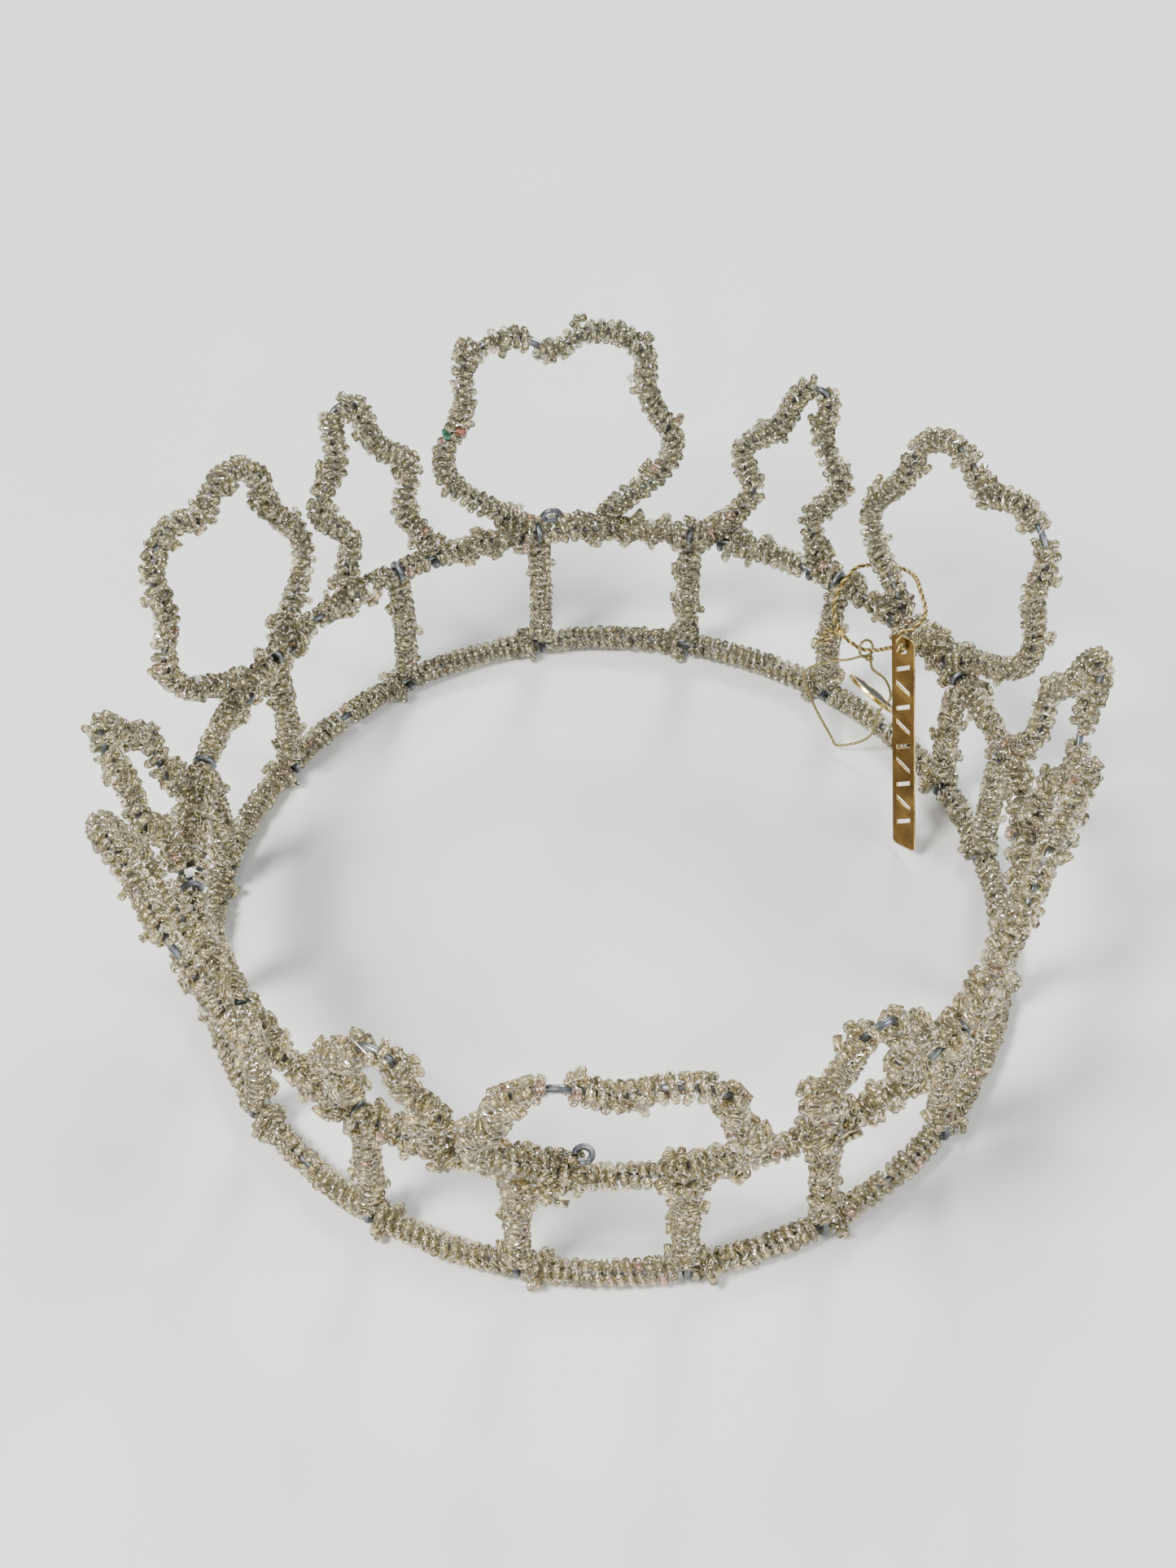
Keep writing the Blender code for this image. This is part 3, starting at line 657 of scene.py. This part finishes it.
def bead_body(name, transmission, stops):
    """Drawn glass: each bead in its own tone with painted light at the front, a little dusty, with
    a faint waviness.
    """
    look = Material(name)
    dust = look.ramp(look.noise(900.0, 3.0), ((0.35, 0.88), (0.65, 1.0)))
    look.set(Base_Color=look.mixed(1.0, look.bead_colour(stops), dust, "MULTIPLY"),
             Roughness=look.ramp(look.noise(700.0, 2.0), ((0.40, 0.012), (0.75, 0.05))),
             Transmission_Weight=transmission, IOR=GLASS_IOR)
    look.bump(look.noise(500.0, 1.0), 0.05, GLASS_RELIEF)
    return look.material


def lining_material():
    """The silvered bore of each bead, tarnished in patches, in the beads' tones with their painted
    light.
    """
    look = Material("silver_lining")
    colour = look.bead_colour(((0.0, (0.78, 0.75, 0.60)), (0.4, (0.95, 0.91, 0.76)),
                               (0.8, (1.0, 0.97, 0.84)), (1.0, (0.95, 0.80, 0.66))))
    tarnish = look.ramp(look.noise(500.0, 2.0), ((0.34, 0.22), (0.52, 1.0)))
    look.set(Base_Color=look.mixed(1.0, colour, tarnish, "MULTIPLY"),
             Roughness=look.ramp(look.noise(700.0, 2.0), ((0.3, 0.06), (0.7, 0.18))), Metallic=1.0)
    return look.material


def blotched(name, colours, spread, broad, fine, rough, metallic, strength):
    """Blotches of two or three tones, with uneven roughness and a relief from a finer noise."""
    look = Material(name)
    steps = np.linspace(0.5 - spread, 0.5 + spread, len(colours))
    broad = look.noise(*broad)
    grain = look.noise(*fine) if fine else broad
    look.set(Base_Color=look.ramp(broad, list(zip(steps, colours))),
             Roughness=look.ramp(grain, ((0.3, rough[0]), (0.7, rough[1]))), Metallic=metallic)
    look.bump(grain, strength, FINE_RELIEF)
    return look.material


def metal_material(name, colours, rough, metallic, scale, strength):
    return blotched(name, colours, 0.18, (scale, 4.0), (scale * 6, 3.0), rough, metallic, strength)


def fibre_material(name, colours, rough, metallic):
    return blotched(name, colours, 0.2, (2600.0, 3.0), None, rough, metallic, 0.4)


def floor_material():
    """Pale paint with a soft mottle and a low grain."""
    look = Material("pale_floor")
    tone = look.ramp(look.noise(6.0, 4.0), ((0.3, (0.66, 0.66, 0.655)), (0.7, (0.70, 0.70, 0.695))))
    look.set(Base_Color=tone, Roughness=0.85)
    look.bump(look.noise(260.0, 3.0), 0.12, FLOOR_RELIEF)
    return look.material


materials = {
    # Clear glass from cool champagne through ivory to peach; a bead's place from back to front
    # moves it up this ramp, as painted light.
    "glass": bead_body("bead_glass", 0.95, (
        (0.0, (0.72, 0.69, 0.50)), (0.35, (0.88, 0.82, 0.56)), (0.70, (1.0, 0.92, 0.62)),
        (0.88, (1.0, 0.90, 0.58)), (0.93, (1.0, 0.84, 0.70)), (1.0, (1.0, 0.78, 0.64)))),
    "lining": lining_material(),
    "milk": bead_body("milk_glass", 0.05, ((0.0, (0.86, 0.87, 0.85)), (1.0, (0.90, 0.90, 0.88)))),
    "wire": metal_material("galvanised_wire", (
        (0.055, 0.062, 0.068), (0.13, 0.14, 0.15), (0.24, 0.25, 0.265)),
        (0.30, 0.52), 0.9, 500.0, 0.25),
    "beading_wire": metal_material("beading_wire", ((0.55, 0.55, 0.53), (0.75, 0.75, 0.72)),
                                   (0.2, 0.4), 1.0, 900.0, 0.1),
    # Painted highlight: the cord's dark gold in its lit tone, for the bright yarn and the knot's
    # wrapping.
    "gold": fibre_material("gold_cord", (
        (0.22, 0.15, 0.035), (0.50, 0.37, 0.11), (0.78, 0.62, 0.24)), (0.28, 0.5), 0.75),
    "dark_gold": fibre_material("dark_gold_cord", (
        (0.035, 0.022, 0.005), (0.10, 0.066, 0.016), (0.20, 0.14, 0.04)), (0.32, 0.55), 0.6),
    "thread": fibre_material("waxed_thread", (
        (0.10, 0.08, 0.025), (0.20, 0.165, 0.06), (0.33, 0.28, 0.12)), (0.30, 0.5), 0.5),
    "brass": metal_material("aged_brass", (
        (0.060, 0.033, 0.007), (0.11, 0.062, 0.014), (0.19, 0.115, 0.030)),
        (0.14, 0.32), 1.0, 160.0, 0.12),
    # Bright brass: the round tag's own gold rim, and the painted highlight on the brass tag's
    # edges.
    "bright_brass_and_painted_highlight": metal_material("bright_brass_and_painted_highlight", (
        (0.55, 0.38, 0.12), (0.80, 0.60, 0.24), (0.92, 0.74, 0.34)),
        (0.18, 0.34), 1.0, 300.0, 0.10),
    "enamel": metal_material("black_enamel", ((0.010, 0.010, 0.010), (0.022, 0.021, 0.020)),
                             (0.45, 0.62), 0.0, 300.0, 0.06),
}
# Matt enamel: it would mirror the sky otherwise.
shine = materials["enamel"].node_tree.nodes["Principled BSDF"].inputs["Specular IOR Level"]
shine.default_value = 0.08


def dress(item, material, body, slot, *nodes):
    """Gives a piece its material and its body, and hides the nodes it stands for; the slot is not
    used.
    """
    if material:
        item.data.materials.append(materials[material])
    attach(item, body)
    if nodes:
        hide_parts(*nodes)


WIRE_LOOK = ("wire", "crown", "galvanised_wire")


# --- The crown

def wobble(points, size):
    """Small smooth bends, as left by hands."""
    count = len(points)
    knots = max(4, count // 22)  # about one bend in nine millimetres
    shift = rng.normal(0, size, (knots, 3))
    marks = np.linspace(0, knots - 1, count)
    return points + np.column_stack([np.interp(marks, range(knots), shift[:, k]) for k in range(3)])


def make_wires():
    """Rings, posts and ornaments as smooth rods; returns their lines by name."""
    lines = {}

    def add(name, node, points, closed=False):
        lines[name] = Line(points)
        rods(f"{name}_smooth_wire", [points], WIRE_RADIUS, WIRE_SIDES, (*WIRE_LOOK, node), closed)

    turn = np.linspace(0, 2 * math.pi, round(2 * math.pi * RING_RADIUS / STEP) + 1)
    for name, height in (("lower_ring", LOWER_HEIGHT), ("upper_ring", UPPER_HEIGHT)):
        hoop = np.column_stack([RING_RADIUS * np.cos(turn), RING_RADIUS * np.sin(turn),
                                np.full(len(turn), height)])
        add(name, f"{name}_wire", hoop, closed=True)
    for number, angle in enumerate(post_angles(), 1):
        add(f"post_{number:02d}", f"post_wire_{number:02d}", rounded(post_path(angle)))
    for place, kind, angle, lean, cant, wide, tall, _ in ORNAMENTS:
        right, left = feet_paths(kind, angle, wide)
        path = right[::-1] + ornament_path(kind, angle, lean, cant, wide, tall) + left
        add(f"{kind}_{place}", f"{kind}_wire_{place}", even(wobble(rounded(path), WOBBLE)))
    return lines


def hook_angles(upper):
    """Angles of the hooks round a ring: the posts', and on the upper ring the ornaments' feet."""
    angles = list(post_angles())
    if upper:
        for _, kind, angle, _, _, wide, _, _ in ORNAMENTS:
            angles += [angle - foot_spread(kind, wide), angle + foot_spread(kind, wide)]
    return angles


def ring_stretch(beads, owner, line, start, stop, hooks=(), **how):
    """Winds beads on a ring from one angle to another, leaving its hooks bare."""
    parts = [(start % 360, start % 360 + stop - start)]  # in two where it passes 0 degrees
    if parts[0][1] > 360:
        parts = [(parts[0][0], 360.0), (0.0, parts[0][1] - 360)]
    mark = lambda angle: line.length * angle / 360
    bare = [(mark(h % 360 - HOOK_CLEAR), mark(h % 360 + HOOK_CLEAR)) for h in hooks]
    for low, high in parts:
        wind(beads, owner, line, mark(low), mark(high), bare=bare, **how)


def sprinkle(beads, owner, line, start, stop, every, loose):
    """Strings a few beads at a time over a winding, one short run in each stretch."""
    for mark in np.arange(start, stop - every, every):
        first = mark + rng.uniform(0.1, 0.6) * every
        wind(beads, owner, line, first, first + rng.uniform(1.5, 4.0) * MM, pitch=9.0 * MM,
             layer=0.75, loose=loose, hand=-1)


def bind_post(beads, owner, line):
    """One tight winding up a post, with a few beads strung over it the other way."""
    start, stop = POST_LEAD, line.length - POST_LEAD
    wind(beads, owner, line, start, stop, pitch=2.15 * MM, loose=0.24)
    sprinkle(beads, owner, line, start + 1 * MM, stop - 1 * MM, 9.0 * MM, 0.35)


def bind_ornament(beads, owner, line, stretches):
    """A looser winding round an ornament, bare in places, thick where its feet stand."""
    bare = [(line.length * share - long * MM / 2, line.length * share + long * MM / 2)
            for share, long in stretches]
    start, stop = FOOT_LEAD, line.length - FOOT_LEAD
    wind(beads, owner, line, start, stop, pitch=2.25 * MM, loose=0.32, bare=bare)
    sprinkle(beads, owner, line, start + 8 * MM, stop - 8 * MM, 15.0 * MM, 0.45)
    for end in (start, stop - FOOT_BIND):
        wind(beads, owner, line, end, end + FOOT_BIND, pitch=7.0 * MM, layer=0.80, loose=0.3)


def string_beads(lines):
    """Winds every strand; returns all strings of beads."""
    beads = []
    ring = lines["lower_ring"]
    for place, (start, stop), _, _ in STRANDS:
        owner = f"lower_strand_{place}"
        ring_stretch(beads, owner, ring, start + STRAND_GAP, stop - STRAND_GAP,
                     hook_angles(False), pitch=2.1 * MM, loose=0.22)
        for number, angle in enumerate(post_angles(), 1):
            if start < angle < stop or start < angle + 360 < stop:
                bind_post(beads, owner, lines[f"post_{number:02d}"])
                ring_stretch(beads, owner, ring, angle + 1.4, angle + 3.4, pitch=3.2 * MM,
                             layer=0.85, loose=0.25)
    ring = lines["upper_ring"]
    for place, _, (start, stop), doubled in STRANDS:
        owner = f"upper_strand_{place}"
        ring_stretch(beads, owner, ring, start + STRAND_GAP, stop - STRAND_GAP,
                     hook_angles(True), pitch=2.1 * MM, loose=0.24)
        for low, high in doubled:
            ring_stretch(beads, owner, ring, low, high, pitch=6.0 * MM, layer=0.82, loose=0.26,
                         hand=-1)
    for place, kind, *_, stretches in ORNAMENTS:
        bind_ornament(beads, f"{kind}_beads_{place}", lines[f"{kind}_{place}"], stretches)
    for place, first, last in BRIDGES:
        lay(beads, f"upper_strand_{place}",
            [ring_point(angle, out * MM, UPPER_HEIGHT + height * MM)
             for angle, out, height in np.linspace(first, last, 8)])
    return beads


def odd_beads(middles, owners):
    """A few beads that don't match: white and short, mint or copper pink."""
    kinds = np.zeros(len(middles))
    for owner, angle, out, height, kind in (
            ("upper_strand_back", 128.5, -2.0, 0.0, WHITE),
            ("upper_strand_left", 186.0, -2.5, 0.0, WHITE),
            ("upper_strand_left", 190.0, 1.0, 2.0, WHITE),
            ("cloud_beads_front", 284.0, 6.0, 14.0, WHITE),
            ("cloud_beads_left_back", 160.0, 4.0, 16.0, WHITE),
            ("cloud_beads_back", 113.5, 7.0, 31.0, MINT),
            ("cloud_beads_back", 109.5, 7.0, 30.0, PINK)):
        near = ring_point(angle, out * MM, UPPER_HEIGHT + height * MM)
        far = np.linalg.norm(middles - near, axis=1) + (owners != owner) + (kinds > 0)
        kinds[np.argmin(far)] = kind
    return kinds


def bead_tones_with_painted_light(middles):
    """Cool champagne at the back to warm ivory at the front as painted light, a random spread of
    tone, one bead in fifty peach.
    """
    # Painted light: the tone rises towards the front (negative y), standing in for warm light and
    # reflection there; the normal spread is the glass's own varying tone.
    tones_with_painted_light = 0.48 - 0.34 * middles[:, 1] / RING_RADIUS + rng.normal(0, 0.14, len(middles))
    return np.where(rng.random(len(middles)) < 0.02, 1.0, tones_with_painted_light.clip(0.0, 0.88))


def make_beads(lines):
    """Each strand's beads as one piece, and the fine wire through them as another."""
    beads = string_beads(lines)
    names, middles, axes = zip(*beads)
    counts = [len(string) for string in middles]
    owners, strings = np.repeat(names, counts), np.repeat(range(len(beads)), counts)
    middles, axes = settle(np.vstack(middles), np.vstack(axes), lines.values())
    kinds = odd_beads(middles, owners)
    tones_with_painted_light = bead_tones_with_painted_light(middles)
    for owner in dict.fromkeys(names):
        mine = owners == owner
        item = bead_mesh(f"{owner}_glass", middles[mine], axes[mine], tones_with_painted_light[mine], kinds[mine])
        dress(item, None, "crown", "glass_beads", owner)
        threads = []
        for string in dict.fromkeys(strings[mine]):
            on = strings == string
            reach = axes[on] * BEAD_LENGTH * 0.5
            ends = np.stack([middles[on] - reach, middles[on] + reach], 1)
            threads.append(ends.reshape(-1, 3))
        rods(f"{owner}_beading_wire", threads, BEADING_WIRE_RADIUS, BEADING_WIRE_SIDES,
             ("beading_wire", "crown", "galvanised_wire"))


def make_curls():
    """Curled wire ends left standing out of the binding."""
    curls = []
    for angle, out, height, radius, tilt in CURLS:
        radial = unit(ring_point(angle))
        tangent = np.array((-radial[1], radial[0], 0.0))
        tilt = math.radians(tilt)
        upright = math.sin(tilt) * np.array((0.0, 0.0, 1.0)) - math.cos(tilt) * radial
        middle = ring_point(angle, out * MM, UPPER_HEIGHT + height * MM)
        turns = np.radians(np.linspace(-120.0, 195.0, 13))
        grow = np.linspace(1.0, 0.86, 13)
        curl = [middle + (tangent * math.cos(t) + upright * math.sin(t)) * radius * MM * g
                for t, g in zip(turns, grow)]
        curls.append(rounded([curl[0] + tangent * 2.4 * MM] + curl, step=FINE_STEP))
    rods("curled_wire_ends", curls, WIRE_RADIUS * CURL_WIRE_SHARE, WIRE_SIDES, WIRE_LOOK)


# --- Swing tags

def frame_of(along, face):
    """Columns of a rotation whose Y runs against a length and whose Z is a face normal."""
    y = -unit(along)
    z = unit(face - y * np.dot(face, y))
    return np.column_stack([np.cross(y, z), y, z])


def brass_tag_frame():
    """Middle of the brass tag's hole and the tag's attitude."""
    hole, end = ring_points(((31.1, -11.95, 51.2), (17.9, -16.9, 3.4)))
    return hole, frame_of(end - hole, np.array((0.787, 0.587, -0.187)))


def cord_points():
    """The gold cord: up from the tag, out behind the cloud's foot, back in over the ring."""
    hole, attitude = brass_tag_frame()
    up, face = attitude[:, 1], attitude[:, 2]
    through, over = 1.5 * MM, 4.6 * MM
    start = [hole + face * through, hole - face * through,
             hole - face * through * 0.9 + up * over * 0.8, hole + up * over,
             hole + face * through + up * over * 0.85]
    loop = ((33.0, -4.0, 55.0), (38.0, 1.6, 54.5), (42.5, 7.4, 50.0), (45.6, 9.0, 47.4),
            (48.4, 7.6, 45.8), (49.8, 2.8, 47.2), (49.8, -2.2, 47.4), (49.7, -5.8, 45.0),
            (49.4, -7.4, 40.5), (47.4, -8.0, 35.6), (43.9, -7.2, 33.4), (40.6, -7.4, 36.4),
            (36.9, -8.0, 42.0))
    return start + ring_points(loop)


def twisted(points, offset, pitch, closed=False):
    """Two yarns twisted round each other along a line."""
    line = Line(points)
    turns = line.length / pitch
    whole = 2 * math.pi * (round(turns) if closed else turns) - (line.slip() if closed else 0.0)
    turn = (whole * line.run / line.length)[:, None]
    return [line.points + (np.cos(a) * line.side + np.sin(a) * line.other) * offset
            for a in (turn, turn + math.pi)]


def make_cord():
    """The gold cord: a dark gold yarn and a painted highlight yarn twisted into a loop, its knot
    and two tails.
    """
    path = rounded(cord_points(), closed=True, step=FINE_STEP)
    light, dark = [[yarn] for yarn in twisted(path, CORD_OFFSET, CORD_TWIST, closed=True)]
    knot = ring_point(47.4, -8.0 * MM, 35.6 * MM)
    tails = ((49.4, -8.0, 32.4), (50.4, -7.6, 28.6)), ((50.2, -7.4, 33.0), (51.6, -7.0, 27.0))
    for tail in tails:
        path = rounded([knot, *ring_points(tail)], step=FINE_STEP)
        first, second = twisted(path, TAIL_OFFSET, CORD_TWIST)
        light.append(first)
        dark.append(second)
    along = unit(ring_point(46.0, -7.6 * MM, 34.2 * MM) - knot)
    side = unit(np.cross(along, (0.0, 0.0, 1.0)))
    coil = np.linspace(0, 3 * 2 * math.pi, 60)[:, None]
    around = np.cos(coil) * side + np.sin(coil) * np.cross(along, side)
    light.append(knot + around * CORD_WRAP + along * (coil / CORD_COIL - 0.5) * 1.6 * MM)
    # The bright yarn is a painted highlight; the dark one is the cord's own dark gold.
    rods("gold_cord_painted_highlight_yarn", light, YARN_RADIUS, YARN_SIDES,
         ("gold", "gold_cord", "gold_cord", "gold_cord"))
    rods("gold_cord_dark_yarn", dark, DARK_YARN_RADIUS, YARN_SIDES,
         ("dark_gold", "gold_cord", "gold_cord"))


def round_tag_frame():
    """Middle of the round tag's hole and the tag's attitude."""
    hole, far = ring_points(((38.4, -4.6, 17.8), (44.9, -6.2, 21.2)))
    return hole, frame_of(far - hole, np.array((0.48, 0.48, 0.63)))


def make_thread():
    """The waxed thread: an eyelet round the cord, a knot and a long loop through the tag."""
    before, after = cord_points()[-3:-1]
    centre, along = (before + after) / 2, unit(after - before)  # where the eyelet sits
    down = unit(np.cross(np.cross((0.0, 0.0, 1.0), along), along))
    knot = centre + down * EYELET_RADIUS
    side = np.cross(along, down)
    eyelet = np.array([centre + (down * math.cos(a) + side * math.sin(a)) * EYELET_RADIUS
                       for a in np.linspace(0, 2 * math.pi, 40)])
    hole, attitude = round_tag_frame()
    face = attitude[:, 2]
    left = ((45.6, -7.4, 27.4), (48.6, -9.4, 25.0), (52.6, -10.4, 18.0), (50.2, -11.4, 11.0),
            (44.6, -12.2, 3.0), (43.9, -12.3, 2.0), (43.1, -11.8, 2.1), (40.3, -9.0, 4.6),
            (38.8, -7.4, 8.4))
    right = ((39.4, -4.2, 25.5), (41.0, -6.2, 28.4))
    reach = 2.0 * MM
    loop = [knot, *ring_points(left), hole - face * reach, hole + face * reach,
            *ring_points(right)]
    path = rounded(loop, closed=True, step=0.3 * MM)
    yarns = [yarn for line in (path, eyelet)
             for yarn in twisted(line, THREAD_OFFSET, THREAD_TWIST, closed=True)]
    coil = np.linspace(0, 2.5 * 2 * math.pi, 50)[:, None]
    around = np.cos(coil) * along + np.sin(coil) * side
    yarns.append(knot + around * THREAD_WRAP + down * (coil / THREAD_COIL - 0.3) * 1.7 * MM)
    rods("waxed_thread_loop", yarns, THREAD_YARN_RADIUS, YARN_SIDES,
         ("thread", "thread", "thread", "thread_loop"))


def plate(name, outlines, thickness, bevel, hole, attitude):
    """A flat piece from closed outlines, with its edges softened, set in its place."""
    curve = bpy.data.curves.new(name, "CURVE")
    curve.dimensions = "2D"
    curve.fill_mode = "BOTH"
    curve.extrude = thickness / 2 - bevel
    curve.bevel_depth = bevel
    curve.bevel_resolution = 2
    curve.offset = -bevel
    for outline in outlines:
        spline = curve.splines.new("POLY")
        spline.points.add(len(outline) - 1)
        for knot, (x, y) in zip(spline.points, outline):
            knot.co = (x, y, 0.0, 1.0)
        spline.use_cyclic_u = True
    drawn = new_object(name + "_curve", curve)
    bpy.context.view_layer.update()
    graph = bpy.context.evaluated_depsgraph_get()
    mesh = bpy.data.meshes.new_from_object(drawn.evaluated_get(graph))
    bpy.data.objects.remove(drawn, do_unlink=True)
    places = np.zeros(len(mesh.vertices) * 3)
    mesh.vertices.foreach_get("co", places)
    places = places.reshape(-1, 3) @ attitude.T + hole
    mesh.vertices.foreach_set("co", places.astype(np.float32).ravel())
    mesh.update()
    mesh.shade_smooth()
    mesh.set_sharp_from_angle(angle=math.radians(35))
    mesh.materials.clear()
    return new_object(name, mesh)


def make_brass_tag():
    """An aged bar with a painted highlight in bright brass on its edges, a hole near its top and a
    column of slanted slots.
    """
    outline = []
    for x, y, start in ((1, 1, 0.0), (-1, 1, 90.0), (-1, -1, 180.0), (1, -1, 270.0)):
        centre = (x * (TAG_WIDTH / 2 - TAG_CORNER),
                  (TAG_TOP if y > 0 else TAG_TOP - TAG_LENGTH) - y * TAG_CORNER)
        outline += arc(centre, TAG_CORNER, start, start + 90.0, 6)
    outlines = [outline, arc((0.0, 0.0), TAG_HOLE, 0.0, 350.0, 35)]
    for i in range(SLOTS):
        y = -SLOT_START - (TAG_LENGTH - SLOT_MARGINS) / SLOTS * i
        rise = SLOT_SLANT if i % 2 else -SLOT_SLANT
        outlines.append([(x * SLOT_HALF, y + x * rise + side * SLOT_BAR)
                         for x, side in ((-1, -1), (1, -1), (1, 1), (-1, 1))])
    hole, attitude = brass_tag_frame()
    item = plate("brass_bar_tag", outlines, TAG_THICK, TAG_BEVEL, hole, attitude)
    dress(item, "brass", "brass_tag", "brass", "brass_tag")
    item.data.materials.append(materials["bright_brass_and_painted_highlight"])
    # Painted highlight: the edge faces, all that don't face along the tag's normal, take the bright
    # brass.
    for face in item.data.polygons:
        face.material_index = int(abs(face.normal @ Vector(attitude[:, 2])) < 0.94)


def make_round_tag():
    """A black disc with a hole, in a gold rim."""
    hole, attitude = round_tag_frame()
    edge, inner, outer = (arc(DISC_MIDDLE, DISC_RADIUS + more, 0.0, 355.0, 71)
                          for more in (0.0, RIM_GAP, RIM_WIDTH))
    bore = arc((0.0, 0.0), 1.0 * MM, 0.0, 345.0, 23)
    disc = plate("enamel_disc", [edge, bore], DISC_THICK, 0.15 * MM, hole, attitude)
    dress(disc, "enamel", "round_tag", "black_enamel", "round_tag_disc")
    rim = plate("round_tag_gold_rim", [outer, inner], RIM_THICK, 0.2 * MM, hole, attitude)
    dress(rim, "bright_brass_and_painted_highlight", "round_tag", "brass", "round_tag_rim")


# --- Stage

# Soft round lamps: name, place, height of their aim over the origin, size, watts and colour.
LIGHTS = (
    ("key", (-0.55, -0.35, 0.95), 0.04, 0.34, 25.0, (1.0, 0.97, 0.93)),
    ("fill", (0.75, -0.30, 0.60), 0.04, 0.36, 7.0, (0.95, 0.97, 1.0)),
    ("rim", (0.15, 0.85, 0.70), 0.05, 0.32, 11.0, (1.0, 1.0, 1.0)),
    ("sparkle", (-0.10, -0.85, 0.62), 0.04, 0.12, 4.0, (1.0, 0.96, 0.90)),
)
FLOOR_SIZE = 6.0
FLOOR_GAP = 0.2 * MM  # between the floor and the lowest bead
SKY_STRENGTH = 0.42

# The photograph's viewing angle: the lens in millimetres, the camera's place in ring radii from
# the lower ring's middle, how far it looks down in degrees and its roll in radians.
LENS = 54.08
CAMERA_PLACE = (-0.0443, -3.6226, 4.7755)
PITCH_DOWN, ROLL = 49.49, -0.0085


def area_light(name, place, aim, size, power, colour):
    lamp = bpy.data.lights.new(name, "AREA")
    lamp.shape = "DISK"
    lamp.size = size
    lamp.energy = power
    lamp.color = colour
    item = new_object(name, lamp)
    item.location = place
    look = Vector((0.0, 0.0, aim)) - Vector(place)
    item.rotation_euler = look.to_track_quat("-Z", "Y").to_euler()


def make_stage():
    """A plain pale floor, a soft sky and the lamps."""
    bpy.ops.mesh.primitive_plane_add(size=FLOOR_SIZE, location=(0.0, 0.0, 0.0))
    floor = bpy.context.object
    floor.name = "floor"
    floor.location.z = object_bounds()[0][2] - FLOOR_GAP
    floor.data.materials.append(floor_material())
    world = bpy.data.worlds.new("studio")
    bpy.context.scene.world = world
    sky = Tree(world)
    background = sky.nodes["Background"]
    direction = sky.add("TexCoord").outputs["Generated"]
    height = sky.add("SeparateXYZ", direction).outputs["Z"]
    tone = sky.ramp(height, ((0.0, (0.30, 0.30, 0.31)), (0.25, (0.45, 0.46, 0.48)),
                             (1.0, (0.95, 0.97, 1.0))))
    sky.links.new(tone, background.inputs["Color"])
    background.inputs["Strength"].default_value = SKY_STRENGTH
    for light in LIGHTS:
        area_light(*light)


def make_camera():
    """From the front and half from above, a little to the left."""
    lens = bpy.data.cameras.new("camera")
    lens.lens = LENS
    lens.clip_start = 0.01
    camera = new_object("camera", lens)
    camera.location = Vector(CAMERA_PLACE) * RING_RADIUS + Vector((0.0, 0.0, LOWER_HEIGHT))
    tilt = Matrix.Rotation(math.radians(90 - PITCH_DOWN), 4, "X")
    camera.rotation_euler = (tilt @ Matrix.Rotation(ROLL, 4, "Z")).to_euler()
    bpy.context.scene.camera = camera


crown_lines = make_wires()
make_beads(crown_lines)
make_curls()
make_cord()
make_brass_tag()
make_thread()
make_round_tag()
make_stage()
make_camera()
